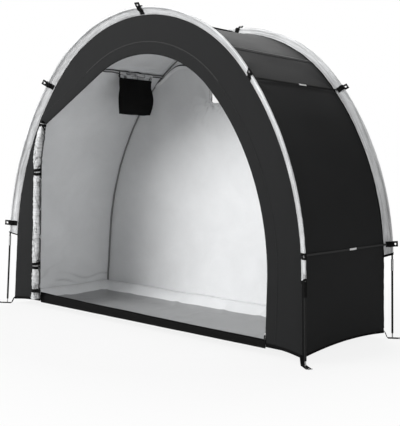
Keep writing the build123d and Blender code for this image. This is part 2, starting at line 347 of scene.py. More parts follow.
# Pale tape painted as a highlight: light caught along the lapped edge of the roof seams.
seam_highlight = webbing_finish("seam_painted_highlight", grey(0.14), grey(0.22), 0.0011)
edge_grey = webbing_finish("grey_edge_tape", grey(0.07), grey(0.13), 0.0011)
pale_tape = webbing_finish("pale_seam_tape", grey(0.34), grey(0.46), 0.0011)
rod = rod_finish()
aluminium = metal_finish("ferrule_aluminium", 0.55, 0.20, 0.0001)
steel = metal_finish("pin_steel", 0.66, 0.22, 0.0001)
nickel = metal_finish("eyelet_nickel", 0.50, 0.25, 0.0001)
film = film_finish()
patch = reflector_finish()
dark_thread = thread_finish("dark_thread", grey(0.030), grey(0.075))
silver_thread = thread_finish("silver_thread", grey(0.30), grey(0.48))
moulding = moulded_finish()


# Lines of the front view
def points(*parts):
    """Places or directions from their coordinates, one number standing for a whole row of them."""
    return np.stack(np.broadcast_arrays(*parts), axis=-1)


def sampled(where, lengths, values):
    """Places read off a line of points at these lengths."""
    return np.stack([np.interp(where, lengths, values[:, k]) for k in range(3)], axis=-1)


class Track:
    """A line in the front view, measured from its left end."""

    def __init__(self, points):
        self.points = np.array(points)
        steps = np.hypot(*np.diff(self.points, axis=0).T)
        self.lengths = np.concatenate(([0.0], np.cumsum(steps)))
        self.length = self.lengths[-1]

    def at(self, s):
        x = np.interp(s, self.lengths, self.points[:, 0])
        z = np.interp(s, self.lengths, self.points[:, 1])
        return x, z

    def way(self, s):
        """Unit direction along the line."""
        ahead = self.at(np.minimum(s + 0.003, self.length))
        behind = self.at(np.maximum(s - 0.003, 0.0))
        x, z = ahead[0] - behind[0], ahead[1] - behind[1]
        size = np.hypot(x, z)
        return x / size, z / size

    def out(self, s):
        """Unit direction away from the cabin."""
        x, z = self.way(s)
        return -z, x

    def ahead(self, s):
        """The way along the line, in space."""
        x, z = self.way(s)
        return points(x, 0.0, z)

    def away(self, s):
        """The way out from the cabin, in space."""
        x, z = self.out(s)
        return points(x, 0.0, z)

    def nearest(self, x, z):
        """Length to the place that is nearest to this point."""
        return self.lengths[np.argmin(np.hypot(self.points[:, 0] - x, self.points[:, 1] - z))]


class HalfArch:
    """A haunch that starts tangent to a leg, and a crown that meets it."""

    def __init__(self, start_x, start_z, start_lean, join, top):
        flat = (1 - sin(join)) / cos(join)
        rise = top - start_z - flat * start_x
        self.join = join
        self.haunch = rise / (sin(join) - sin(start_lean) - flat * (cos(start_lean) - cos(join)))
        self.crown = (start_x - self.haunch * (cos(start_lean) - cos(join))) / cos(join)
        self.haunch_x = start_x - self.haunch * cos(start_lean)
        self.haunch_z = start_z - self.haunch * sin(start_lean)
        self.crown_z = top - self.crown

    def point(self, angle):
        if angle <= self.join:
            reach = self.haunch
            return (self.haunch_x + reach * cos(angle), self.haunch_z + reach * sin(angle))
        return (self.crown * cos(angle), self.crown_z + self.crown * sin(angle))

    def run(self, low, high):
        """Points on the right half between two angles."""
        return [self.point(angle) for angle in np.linspace(low, high, 500)]


fin_out = fin_width * cos(fin_lean)
base_half = foot_half - fin_out / cos(leg_lean)
leg_top_x = base_half - leg_top * tan(leg_lean)
half_arch = HalfArch(leg_top_x, leg_top, leg_lean, crown_start, arch_top)
half_door = HalfArch(door_right, door_spring, 0.0, door_crown_start, door_top)
right_side = [(base_half, 0.0)] + half_arch.run(leg_lean, pi / 2)
left_side = [(-x, z) for x, z in right_side]
arch = Track(left_side + right_side[-2::-1])
slope_top = half_door.point(pi / 2 - door_slope)
slope_end = slope_top[1] - (door_left - slope_top[0]) * tan(door_slope)
door_over = half_door.run(0.0, pi - (pi / 2 - door_slope))[::-1]
door = Track([(-door_left, foot_left), (-door_left, slope_end)] + door_over + [(door_right, foot_right)])
apex = arch.length / 2


def from_top(angle):
    """Length along the arch from its top to where the way out has this angle."""
    if angle >= crown_start:
        return half_arch.crown * (pi / 2 - angle)
    return half_arch.crown * (pi / 2 - crown_start) + half_arch.haunch * (crown_start - angle)


tab_drops = {place: from_top(angle) for place, angle in tab_angles.items()}
cross_drops = {sign: from_top(angle) for sign, angle in cross_seam_angles.items()}
tab_spots = [apex + sign * drop for drop in tab_drops.values() for sign in (-1, 1)][1:]


# Folds and ripples
def ripple(x, y, seed, wrap=61):
    """Smooth noise between -1 and 1, one cell to a unit, repeating in x after wrap cells."""
    x, y = np.broadcast_arrays(x, y)
    table = np.random.default_rng(seed).uniform(-1, 1, (61, 61))
    column, row = np.floor(x).astype(int), np.floor(y).astype(int)
    across, down = x - column, y - row
    across = across * across * (3 - 2 * across)
    down = down * down * (3 - 2 * down)

    def knot(i, j):
        return table[(column + i) % wrap, (row + j) % 61]

    low = knot(0, 0) * (1 - across) + knot(1, 0) * across
    high = knot(0, 1) * (1 - across) + knot(1, 1) * across
    return low * (1 - down) + high * down


def crease(x, y, seed, wrap=61):
    """Sharp ridges between -1 and 1."""
    return 1 - 2 * np.abs(ripple(x, y, seed, wrap))


def groove(x, y, seed, wrap=61, width=0.16):
    """Narrow folds, 1 along their lines and 0 between them."""
    return np.exp(-(ripple(x, y, seed, wrap) / width) ** 2)


def ease(x):
    """0 below 0, 1 above 1 and a smooth rise between."""
    x = np.clip(x, 0.0, 1.0)
    return x * x * (3 - 2 * x)


line_drops = [0.0, cross_drops[1], tab_drops["upper"], tab_drops["lower"], apex]
line_lifts = [0.0010, 0.0, 0.0072, 0.0085, 0.0]
sag_depths = [0.024, 0.006, 0.018, 0.006]


def shell_lift(s, y):
    """How far the stretched cloth stands out from the arch line, between the sewn edges."""
    drop = np.abs(s - apex)
    wide = y / half_depth
    from_edge = half_depth - np.abs(y)
    held = np.interp(drop, line_drops, line_lifts) * (1 - wide ** 4)
    zone = np.clip(np.searchsorted(line_drops, drop, side="right") - 1, 0, 3)
    low = np.take(line_drops, zone)
    high = np.take(line_drops, zone + 1)
    sag = np.take(sag_depths, zone) * np.sin(pi * (drop - low) / (high - low)) * (1 - wide ** 2)
    lift = held - sag
    lift = lift + 0.0011 * ripple(s / 0.026, wide + 7, 3) * np.exp(-from_edge / 0.02)
    lift = lift + 0.0010 * ripple(s / 0.06, y / 0.35, 4) * (1 - wide ** 2)
    puckers = 0.0110 * ripple(y / 0.045 + s / 0.08, s / 0.06, 5) * np.exp(-s / 0.07)
    lift = lift + puckers * (1 - wide ** 4) * ease(s / 0.12)
    for spot in [*tab_drops.values(), apex - hem_corner]:
        far = np.hypot(drop - spot, from_edge)
        turn = np.arctan2(drop - spot, from_edge + 1e-6)
        fold = np.cos(9 * turn + 3 * spot) * np.exp(-far / 0.085) * (1 - np.exp(-far / 0.02))
        lift = lift + 0.0016 * fold
    return lift


def on_shell(s, y, lift=0.0):
    """A place on the stretched shell, or lifted from it."""
    x, z = arch.at(s)
    out_x, out_z = arch.out(s)
    stand = shell_lift(s, y) + lift
    return points(x + out_x * stand, y, z + out_z * stand)


def on_fin(s, run, lift, side):
    """A place on a pole fin: run out along it, lift away from the cabin, side -1 front and 1 rear."""
    s, run, lift = np.broadcast_arrays(s, run, lift)
    x, z = arch.at(s)
    out_x, out_z = arch.out(s)
    reach = run * cos(fin_lean) - lift * sin(fin_lean)
    y = side * (half_depth + fin_root_gap + run * sin(fin_lean) + lift * cos(fin_lean))
    return points(x + out_x * reach, y, z + out_z * reach)


def fin_face(s, side):
    """Unit direction away from the cabin on a fin's outer face."""
    s = np.atleast_1d(s)
    out_x, out_z = arch.out(s)
    return points(-out_x * sin(fin_lean), side * cos(fin_lean), -out_z * sin(fin_lean))


# Making pieces
def alone(piece):
    """Selects only this piece."""
    bpy.ops.object.select_all(action="DESELECT")
    piece.select_set(True)
    bpy.context.view_layer.objects.active = piece


def press(piece, kind, **settings):
    """Adds a modifier and applies it."""
    alone(piece)
    modifier = piece.modifiers.new(kind.lower(), kind)
    for key, value in settings.items():
        setattr(modifier, key, value)
    bpy.ops.object.modifier_apply(modifier=modifier.name)


def smooth(piece, angle=35):
    """Soft shading, with edges kept where faces meet at more than this angle."""
    piece.data.shade_smooth()
    piece.data.set_sharp_from_angle(angle=radians(angle))


def merge(piece, gap=1e-5, recalculate=True):
    """Closes seams and turns the faces outwards."""
    alone(piece)
    bpy.ops.object.mode_set(mode="EDIT")
    bpy.ops.mesh.select_all(action="SELECT")
    bpy.ops.mesh.remove_doubles(threshold=gap)
    if recalculate:
        bpy.ops.mesh.normals_make_consistent(inside=False)
    bpy.ops.object.mode_set(mode="OBJECT")


def edit_all(step, **settings):
    """Does one step to the whole mesh of the piece just made."""
    bpy.ops.object.mode_set(mode="EDIT")
    bpy.ops.mesh.select_all(action="SELECT")
    step(**settings)
    bpy.ops.object.mode_set(mode="OBJECT")


def joined(pieces, name):
    """Several pieces as one."""
    alone(pieces[0])
    for piece in pieces:
        piece.select_set(True)
    bpy.ops.object.join()
    whole = bpy.context.object
    whole.name = name
    whole.data.name = name
    return whole


def dress(piece, finishes, nodes=()):
    """Gives a piece its finishes and its place on the shelter."""
    for finish in finishes:
        piece.data.materials.append(finish)
    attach(piece, "root")
    if nodes:
        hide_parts(*nodes)


def laid_out(name, cells_u, cells_v, place):
    """A sheet whose corners place(u, v) puts, with its flat lengths and any painted shade for its folds."""
    bpy.ops.mesh.primitive_grid_add(x_subdivisions=cells_u, y_subdivisions=cells_v, size=2)
    piece = bpy.context.object
    piece.name = name
    mesh = piece.data
    mesh.name = name
    corners = np.empty(len(mesh.vertices) * 3)
    mesh.vertices.foreach_get("co", corners)
    u, v = (corners.reshape(-1, 3)[:, :2].T + 1) / 2
    spots, flat, *depth = place(u, v)
    mesh.vertices.foreach_set("co", np.ascontiguousarray(spots, dtype=float).ravel())
    order = np.empty(len(mesh.loops), np.int32)
    mesh.loops.foreach_get("vertex_index", order)
    layer = mesh.uv_layers.active
    layer.name = "cloth"
    layer.data.foreach_set("uv", np.ascontiguousarray(flat[order], dtype=float).ravel())
    mesh.update()
    # The fold attribute is painted shade for the colour; it does not move the sheet.
    if depth:
        layer = mesh.attributes.new("fold", "FLOAT", "POINT")
        layer.data.foreach_set("value", np.ascontiguousarray(np.clip(depth[0], 0, 1), dtype=np.float32))
    return piece


def thicken(piece, thick, offset=-1.0, inner=0, rim=0):
    """Gives a sheet its thickness, on the side away from its faces."""
    press(piece, "SOLIDIFY", thickness=thick, offset=offset, material_offset=inner, material_offset_rim=rim)


def lengths_of(line):
    """Length along a line of points, up to each."""
    steps = np.linalg.norm(np.diff(line, axis=0), axis=1)
    return np.concatenate(([0.0], np.cumsum(steps)))


def ribbon(name, line, side, width, thick, cells=4, crown=0.0, closed=False):
    """Tape or webbing along a line of points, with its width along side."""
    line = np.asarray(line, dtype=float)
    side = np.broadcast_to(np.asarray(side, dtype=float), line.shape)
    lengths = lengths_of(line)
    way = np.gradient(line, axis=0)
    if closed:
        way[0] = way[-1] = line[1] - line[-2]
    face = np.cross(way, side)
    face = face / np.linalg.norm(face, axis=1, keepdims=True)

    def place(u, v):
        index = np.rint(u * (len(line) - 1)).astype(int)
        off = (v - 0.5)[:, None] * width
        bow = crown * (1 - (2 * v - 1) ** 2)
        spots = line[index] + side[index] * off + face[index] * bow[:, None]
        return spots, points(lengths[index], (v - 0.5) * width)

    piece = laid_out(name, len(line) - 1, cells, place)
    if closed:
        merge(piece, 1e-5, False)
    press(piece, "SOLIDIFY", thickness=thick, offset=0.0)
    smooth(piece)
    return piece


def edge_tape(name, line, up, face, height, half_gap):
    """Tape folded over an edge: down one side, under it and up the other."""
    line = np.asarray(line, dtype=float)
    up = np.broadcast_to(np.asarray(up, dtype=float), line.shape)
    face = np.broadcast_to(np.asarray(face, dtype=float), line.shape)
    lengths = lengths_of(line)
    down = [(1.0, 1.0), (0.45, 1.25), (0.08, 1.1)]
    fold = np.array(down + [(0.0, 0.0)] + [(rise, -out) for rise, out in down[::-1]])

    def place(u, v):
        index = np.rint(u * (len(line) - 1)).astype(int)
        step = np.rint(v * (len(fold) - 1)).astype(int)
        rise = (fold[step, 0] * height - 0.0012)[:, None]
        out = (fold[step, 1] * half_gap)[:, None]
        spots = line[index] + up[index] * rise + face[index] * out
        return spots, points(lengths[index], v * 2 * height)

    piece = laid_out(name, len(line) - 1, len(fold) - 1, place)
    press(piece, "SOLIDIFY", thickness=0.0006, offset=0.0)
    smooth(piece, 60)
    return piece


def grains(spot, way, beside, up, size, under):
    """Corners of small eight-sided grains: half their length, width and height, and the share below."""
    long, wide, high = size
    return np.stack([
        spot - way * long,
        spot - beside * wide,
        spot + up * high,
        spot + beside * wide,
        spot - up * high * under,
        spot + way * long,
    ], axis=1)


def stitch_corners(line, face, pitch=0.0055, size=(0.0034, 0.0008, 0.0006)):
    """Corners of a row of stitches along a line, raised on the side that face gives."""
    line = np.asarray(line, dtype=float)
    face = np.broadcast_to(np.asarray(face, dtype=float), line.shape)
    lengths = lengths_of(line)
    centres = np.arange(pitch / 2, lengths[-1], pitch)
    spot = sampled(centres, lengths, line)
    up = sampled(centres, lengths, face)
    way = sampled(centres + 0.001, lengths, line) - sampled(centres - 0.001, lengths, line)
    way = way / np.linalg.norm(way, axis=1, keepdims=True)
    long, wide, high = size
    return grains(spot, way, np.cross(way, up), up, (long / 2, wide / 2, high), 0.4)


stitch_faces = [(0, 2, 1), (0, 3, 2), (0, 4, 3), (0, 1, 4), (5, 1, 2), (5, 2, 3), (5, 3, 4), (5, 4, 1)]


def sewn(name, rows, finish):
    """All the stitches of a kind as one piece."""
    corners = np.concatenate(rows)
    faces = [[6 * i + k for k in face] for i in range(len(corners)) for face in stitch_faces]
    mesh = bpy.data.meshes.new(name)
    mesh.from_pydata(corners.reshape(-1, 3).tolist(), [], faces)
    piece = bpy.data.objects.new(name, mesh)
    bpy.context.scene.collection.objects.link(piece)
    merge(piece, 1e-7)
    piece.data.shade_smooth()
    dress(piece, [finish])


def copies(source, places, name):
    """The same fitting at several places, joined."""
    made = []
    for place in places:
        mesh = source.data.copy()
        mesh.transform(place)
        piece = bpy.data.objects.new(name, mesh)
        bpy.context.scene.collection.objects.link(piece)
        made.append(piece)
    bpy.data.objects.remove(source)
    return joined(made, name)


def pierce(piece, spot, axis, radius):
    """Cuts a round hole through a strap."""
    turn = Vector(axis).to_track_quat("Z", "Y").to_euler()
    bpy.ops.mesh.primitive_cylinder_add(vertices=24, radius=radius, depth=0.03, location=spot,
                                        rotation=turn)
    cutter = bpy.context.object
    press(piece, "BOOLEAN", operation="DIFFERENCE", solver="EXACT", object=cutter)
    bpy.data.objects.remove(cutter)


def upright_at(spot, axis):
    """Puts a fitting modelled upright at the origin in its place."""
    return Matrix.Translation(Vector(spot)) @ Vector(axis).to_track_quat("Z", "Y").to_matrix().to_4x4()


# Camera and light
def add_camera():
    data = bpy.data.cameras.new("view")
    data.lens = 69.92
    data.sensor_width = 36.0
    camera = bpy.data.objects.new("view", data)
    bpy.context.scene.collection.objects.link(camera)
    yaw, pitch, roll = radians(39.73), radians(-4.0), radians(1.5)
    ahead = Vector((-sin(yaw) * cos(pitch), cos(yaw) * cos(pitch), sin(pitch)))
    right = Vector((cos(yaw), sin(yaw), 0.0))
    up = right.cross(ahead)
    across = cos(roll) * right + sin(roll) * up
    upward = cos(roll) * up - sin(roll) * right
    turn = Matrix((across, upward, -ahead)).transposed().to_4x4()
    camera.matrix_world = Matrix.Translation((2.8142, -3.2855, 0.8669)) @ turn
    bpy.context.scene.camera = camera


def add_lamp(name, spot, aim, size, power):
    data = bpy.data.lights.new(name, "AREA")
    data.shape = "DISK"
    data.size = size
    data.energy = power
    lamp = bpy.data.objects.new(name, data)
    bpy.context.scene.collection.objects.link(lamp)
    lamp.location = spot
    lamp.rotation_euler = (Vector(aim) - Vector(spot)).to_track_quat("-Z", "Y").to_euler()


def add_studio():
    world = bpy.data.worlds.new("studio")
    world.use_nodes = True
    bpy.context.scene.world = world
    mix = Recipe(world.node_tree)
    seen = mix.node("ShaderNodeLightPath", {}, {}, "Is Camera Ray")
    backdrop = mix.node("ShaderNodeBackground", {}, {"Color": grey(1.0), "Strength": 0.28 + seen * 0.72})
    mix.node("ShaderNodeOutputWorld", {}, {"Surface": backdrop})
    bpy.ops.mesh.primitive_plane_add(size=60, location=(0, 0, -0.0005))
    ground = bpy.context.object
    ground.name = "ground"
    material, mix = new_finish("pale_floor")
    tone = mix.noise(0.8, 2.0)
    matt = mix.node("ShaderNodeBsdfDiffuse", {}, {"Color": mix.blend(tone, grey(0.56), grey(0.60))})
    glow = mix.node("ShaderNodeEmission", {}, {"Color": grey(1.0), "Strength": 1.0})
    far = mix.node("ShaderNodeVectorMath", {"operation": "LENGTH"}, {0: mix.places()}, "Value")
    open_floor = ((far - 1.1) * 0.9).most(0.0).least(1.0)
    seen = mix.node("ShaderNodeLightPath", {}, {}, "Is Camera Ray")
    share = seen * (0.86 + 0.14 * open_floor)
    both = mix.node("ShaderNodeMixShader", {}, {0: share, 1: matt, 2: glow})
    mix.node("ShaderNodeOutputMaterial", {}, {"Surface": both})
    ground.data.materials.append(material)
    add_lamp("key", (-2.2, -5.3, 3.5), (0, 0, 0.7), 4.8, 480)
    add_lamp("top", (-1.2, 2.4, 4.4), (0, 0, 0.9), 3.0, 205)
    add_lamp("fill", (4.8, -2.4, 2.4), (0.6, 0, 0.8), 2.6, 60)


# Stretched panels over the arches
def hem_height(wide):
    """Height of a hem, from -1 to 1 across its side."""
    return hem_corner + hem_rise * (1 - wide ** 2)


def corner_crease_shade(s, y):
    """Painted shade of creases of the lining that fan out from a lower corner beside the doorway, drawn
    only in its colour.
    """
    far = np.hypot(s - 0.06, y + half_depth)
    turn = np.arctan2(s - 0.06, y + half_depth + 1e-6)
    fan = groove(turn * 5.5 + far * 3, far / 0.16, 37, 61, 0.15) * np.exp(-far / 0.13) * ease(far / 0.03)
    wave = s / 0.060 + 0.5 * ripple(y / 0.16, 0 * s, 39) + y * 2
    low = groove(wave, 0 * s + 5, 38, 61, 0.20) * ease(0.5 + 1.2 * ripple(y / 0.17, 0 * s, 40))
    return np.clip(0.8 * fan + 0.4 * low * np.exp(-((s - 0.100) / 0.035) ** 2), 0, 1)


def shell_panel(name, node, first, last, cells):
    """A panel between two lengths along the arch, each the same for all y or given by y."""
    def place(u, v):
        y = (2 * v - 1) * half_depth
        low, high = first(y), last(y)
        s = low + u * (high - low)
        # The third value is painted shade for the lining's corner creases.
        return on_shell(s, y), points(s, y), corner_crease_shade(np.minimum(s, arch.length - s), y)

    piece = laid_out(name, cells, 84, place)
    dress(piece, [charcoal, lining], [node])
    thicken(piece, cloth_thick, -1.0, 1, 0)
    smooth(piece, 50)
    length = float(last(np.array(0.0)) - first(np.array(0.0)))


def left_hem(y):
    return hem_height(y / half_depth) / cos(leg_lean)


def right_hem(y):
    return arch.length - left_hem(y)


def left_cross(y):
    return apex - cross_drops[-1] + 0 * y


def right_cross(y):
    return apex + cross_drops[1] + 0 * y


def shell_panels():
    shell_panel("left_end_cloth", "left_end_panel", left_hem, left_cross, 176)
    shell_panel("roof_cloth", "roof_top_panel", left_cross, right_cross, 132)
    shell_panel("right_end_cloth", "right_end_panel", right_cross, right_hem, 176)


def cross_seams():
    """Felled seams where the roof meets the end panels, with binding inside."""
    y = np.linspace(-half_depth + 0.003, half_depth - 0.003, 90)
    tapes = []
    pipes = []
    rows = []
    for sign in (-1, 1):
        s = apex + sign * cross_drops[sign]
        lower = s + sign * 0.006
        side = arch.ahead(s)
        tapes.append(ribbon("seam", on_shell(lower + 0 * y, y, 0.0009), side, 0.014, 0.0011, 4, 0.0004))
        edge = on_shell(s - sign * 0.0065 + 0 * y, y, 0.0014)
        pipes.append(ribbon("piping", edge, side, 0.004, 0.0008, 3, 0.0002))
        for step in (-0.0045, 0.0045):
            row = on_shell(lower + step + 0 * y, y, 0.0016)
            rows.append(stitch_corners(row, arch.away(s)))
    seam = joined(tapes, "cross_seam_fells")
    dress(seam, [charcoal])
    # The piping is pale as a painted highlight along the lapped edge.
    dress(joined(pipes, "cross_seam_piping"), [seam_highlight])
    inner = []
    cords = []
    for sign in (-1, 1):
        s = apex + sign * cross_drops[sign]
        side = arch.ahead(s)
        slack = 0.0035 * ripple(y / 0.045, 0 * y, 33 + sign)
        line = on_shell(s + slack, y, -0.0044 - 0.0015 * ripple(y / 0.03, 0 * y, 35))
        inner.append(ribbon("tape", line, side, 0.017, 0.0014, 4))
        for off in (-0.0085, 0.0085):
            line = on_shell(s + slack + off, y, -0.0058)
            cords.append(ribbon("cord", line, side, 0.0045, 0.0020, 3, 0.0004))
    dress(joined(inner, "cross_seam_binding"), [pale_tape])
    dress(joined(cords, "cross_seam_cords"), [shadow_and_cord_tape])
    return rows


# Front wall
front_marks = [
    ((-door_left, foot_left), (-base_half, hem_corner)),
    ((-door_left, slope_end), (-0.768, 1.020)),
    ((-slope_top[0], slope_top[1]), (-0.435, 1.403)),
    ((0.0, door_top), (0.0, arch_top)),
    (half_door.point(door_crown_start), (0.550, 1.310)),
    ((door_right, door_spring), (0.952, 0.345)),
    ((door_right, foot_right), (base_half, hem_corner)),
]
door_marks = [door.nearest(*inner) for inner, outer in front_marks]
arch_marks = [arch.nearest(*outer) for inner, outer in front_marks]
arch_marks[0] = hem_corner / cos(leg_lean)
arch_marks[-1] = arch.length - arch_marks[0]


def front_face(x, z):
    """Y of the front wall's outer face, with the ripples of cloth pulled between its seams."""
    soft = 0.0011 * ripple(x / 0.13, z / 0.17, 21) + 0.0005 * ripple(x / 0.035, z / 0.22, 22)
    return -half_depth - soft


hem_bow = 0.0045


def front_panel(name, node, first, last, cells):
    knots = np.array(arch_marks[first:last + 1])
    edges = np.array(door_marks[first:last + 1])

    def place(u, v):
        outer = knots[0] + u * (knots[-1] - knots[0])
        inner = np.interp(outer, knots, edges)
        inner_x, inner_z = door.at(inner)
        outer_x, outer_z = arch.at(outer)
        x = inner_x + v * (outer_x - inner_x)
        z = inner_z + v * (outer_z - inner_z)
        z = z + hem_bow * np.sin(pi * v) * np.exp(-np.maximum(z - 0.03, 0) / 0.05)
        y = -half_depth + (front_face(x, z) + half_depth) * ease((1 - v) * 6)
        return points(x, y, z), points(x, z)

    piece = laid_out(name, cells, 26, place)
    dress(piece, [charcoal, lining], [node])
    thicken(piece, cloth_thick, -1.0, 1, 0)
    smooth(piece, 50)


def front_wall():
    front_panel("front_left_cloth", "front_left_panel", 0, 1, 110)
    front_panel("front_header_cloth", "front_header_panel", 1, 4, 190)
    front_panel("front_right_cloth", "front_right_panel", 4, 6, 150)


def zip_flap():
    """A folded strip sewn flat over the door's zip, piped along the header."""
    first, last = door_marks[1] + 0.02, door.length - 0.012
    width = 0.056

    def place(u, v):
        s = first + u * (last - first)
        x, z = door.at(s)
        out_x, out_z = door.out(s)
        off = -0.002 + v * width
        lift = 0.0004 + 0.0009 * np.sin(pi * np.clip(v, 0, 1)) + 0.0003 * ripple(s / 0.05, v * 2, 31)
        px, pz = x + out_x * off, z + out_z * off
        return points(px, front_face(px, pz) - lift, pz), points(s, off)

    piece = laid_out("zip_flap", 300, 8, place)
    dress(piece, [charcoal])
    thicken(piece, 0.0012)
    smooth(piece, 50)
    rows = []
    for off in (0.0485, 0.0515):
        rows.append(stitch_corners(beside_door(first + 0.004, last - 0.004, off, 0.0016, 700), (0, -1, 0)))
    s = np.linspace(door_marks[2] - 0.07, door_marks[4] + 0.03, 240)
    line = beside_door(s[0], s[-1], 0.0545, 0.0006, 240)
    piping = ribbon("flap_piping", line, door.away(s), 0.004, 0.0016, 4, 0.0006)
    # Paler tape: a painted highlight along the header.
    dress(piping, [highlight_tape])
    return rows


def beside_door(first, last, off, lift, count):
    """A line on the front wall at a distance outside the doorway's edge."""
    s = np.linspace(first, last, count)
    x, z = door.at(s)
    out_x, out_z = door.out(s)
    px, pz = x + out_x * off, z + out_z * off
    return points(px, front_face(px, pz) - lift, pz)


def door_zip():
    """Zip along the doorway: its tape, its coil of teeth, and a slider at the foot."""
    first, last = door_marks[1] + 0.004, door.length - 0.004
    s = np.linspace(first, last, 520)
    x, z = door.at(s)
    side = door.away(s)
    line = points(x, 0.0022 - half_depth, z) + side * 0.003
    tape = ribbon("zip_tape", line, side, 0.015, 0.0008, 2)
    dress(tape, [binding])
    tooth = np.arange(first, last, 0.0026)
    x, z = door.at(tooth)
    side = door.away(tooth)
    centre = points(x, 0.0016 - half_depth, z) - side * 0.0042
    face = np.array((0.0, -1.0, 0.0))
    teeth = grains(centre, side, door.ahead(tooth), face, (0.0022, 0.0008, 0.0011), 1.0)
    sewn("zip_teeth", [teeth], moulding)
    bpy.ops.mesh.primitive_cube_add(size=1, location=(door_right - 0.0045, -half_depth + 0.0005, 0.096))
    slider = bpy.context.object
    slider.name = "zip_slider"
    edit_all(bpy.ops.transform.resize, value=(0.0085, 0.0052, 0.0125))
    edit_all(bpy.ops.mesh.bevel, offset=0.0016, segments=3, affect="EDGES")
    bpy.ops.object.transform_apply(location=True, rotation=True, scale=True)
    smooth(slider)
    dress(slider, [nickel])
    drop = np.linspace(0, 1, 16)
    line = points(
        door_right - 0.0045 + 0.004 * drop ** 2,
        -half_depth - 0.004 - 0.002 * np.sin(drop * pi),
        0.094 - 0.036 * drop,
    )
    pull = ribbon("zip_pull", line, (1, 0, 0), 0.006, 0.0012, 3)
    dress(pull, [webbing])


# Back wall and its window
def reach_to(edge, turn):
    """Distance from the middle to an outline of points, this way round."""
    angles = np.arctan2(edge[:, 1], edge[:, 0])
    order = np.argsort(angles)
    wrapped = (turn + pi) % (2 * pi) - pi
    return np.interp(wrapped, angles[order], np.hypot(*edge[order].T), period=2 * pi)


def window_reach(turn):
    """Distance from the window's middle to its edge, this way round."""
    half_high = (window_high - window_low) / 2
    edge = []
    for sign_x, sign_z, start in ((1, -1, -pi / 2), (1, 1, 0), (-1, 1, pi / 2), (-1, -1, pi)):
        for step in np.linspace(0, pi / 2, 20):
            x = sign_x * (window_half - window_corner) + window_corner * cos(start + step)
            z = sign_z * (half_high - window_corner) + window_corner * sin(start + step)
            edge.append((x, z))
    edge = np.array(edge + edge[:1])
    dense = np.concatenate([np.linspace(a, b, 60) for a, b in zip(edge[:-1], edge[1:])])
    return reach_to(dense, turn)


window_z = (window_low + window_high) / 2


def wall_reach(turn):
    """Distance from the window's middle to the wall's outline, this way round."""
    s = np.linspace(hem_corner / cos(leg_lean), arch.length - hem_corner / cos(leg_lean), 4000)
    x, z = arch.at(s)
    low_x = np.linspace(x[-1], x[0], 2000)
    low_z = hem_height(low_x / base_half)
    edge = points(np.concatenate([x, low_x]), np.concatenate([z, low_z]) - window_z)
    return reach_to(edge, turn)


def back_face(x, z):
    """Y of the back wall's outer face: soft ripples, and tension lines round the window."""
    soft = 0.0014 * ripple(x / 0.15, z / 0.19, 41) + 0.0007 * ripple(x / 0.04, z / 0.26, 42)
    for corner_x, corner_z in ((-1, -1), (1, -1), (-1, 1), (1, 1)):
        dx = x - corner_x * window_half
        dz = z - window_z - corner_z * 0.105
        far = np.hypot(dx, dz)
        turn = np.arctan2(dz, dx)
        soft = soft + 0.0052 * np.cos(7 * turn + corner_x) * np.exp(-far / 0.06) * ease(far / 0.02)
    return half_depth + soft


def window_crease_shade(x, z):
    """Painted shade of creases of the lining at the window's lower corners and beside it."""
    depth = 0 * x
    for corner_x in (-1, 1):
        dx = x - corner_x * window_half
        dz = z - window_low
        far = np.hypot(dx, dz)
        fan = groove(np.arctan2(dz, dx) * 3.4 + corner_x, far / 0.09, 47, 61, 0.16)
        depth = depth + fan * np.exp(-far / 0.055) * ease(far / 0.016)
    return np.clip(0.75 * depth, 0, 1)


def back_wall():
    corner = atan2(hem_corner - window_z, base_half)
    breaks = np.array([corner, 0.0, pi / 2, pi, pi - corner, 3 * pi / 2, 2 * pi + corner])
    shares = np.array([0.0, 0.16, 0.34, 0.52, 0.68, 0.84, 1.0])

    def place(u, v):
        turn = np.interp(u, shares, breaks)
        near, far = window_reach(turn), wall_reach(turn)
        reach = near + (far - near) * v ** 1.25
        x, z = reach * np.cos(turn), window_z + reach * np.sin(turn)
        held = ease((1 - v) * 8)
        y = half_depth + (back_face(x, z) - half_depth) * held
        # The third value is painted shade for the lining's creases round the window.
        return points(x, y, z), points(x, z), window_crease_shade(x, z) * held

    piece = laid_out("back_cloth", 300, 56, place)
    merge(piece, 1e-6, False)
    dress(piece, [charcoal, lining], ["back_panel"])
    thicken(piece, cloth_thick, -1.0, 1, 0)
    smooth(piece, 50)

    def pane(u, v):
        x = (2 * u - 1) * (window_half + 0.011)
        z = window_z + (2 * v - 1) * 0.116
        swell = 0.0016 * ripple(x / 0.09, z / 0.08, 45) * ease((1 - np.abs(2 * u - 1)) * 6)
        y = half_depth - 0.0026 + swell * ease((1 - np.abs(2 * v - 1)) * 6)
        return points(x, y, z), points(x, z)

    sheet = laid_out("window_film", 48, 34, pane)
    dress(sheet, [film], ["back_window_pane"])
    thicken(sheet, 0.0005, 0.0)
    sheet.data.shade_smooth()
    turn = np.linspace(0, 2 * pi, 241)
    rows = []
    tapes = []
    for face, lift in ((1, 0.0014), (-1, -0.0042)):
        reach = window_reach(turn) + 0.008
        x, z = reach * np.cos(turn), window_z + reach * np.sin(turn)
        side = points(np.cos(turn), 0.0, np.sin(turn))
        line = points(x, back_face(x, z) + lift, z)
        tapes.append(ribbon("tape", line, side, 0.018, 0.0012, 3, 0.0, True))
        for off in (-0.0055, 0.0055):
            rows.append(stitch_corners(line + side * off + np.array((0, face * 0.0008, 0)), (0, face, 0)))
    dress(tapes[0], [charcoal])
    tapes[0].name = "window_frame_outside"
    dress(tapes[1], [sleeve_silver])
    tapes[1].name = "window_frame_inside"
    return rows


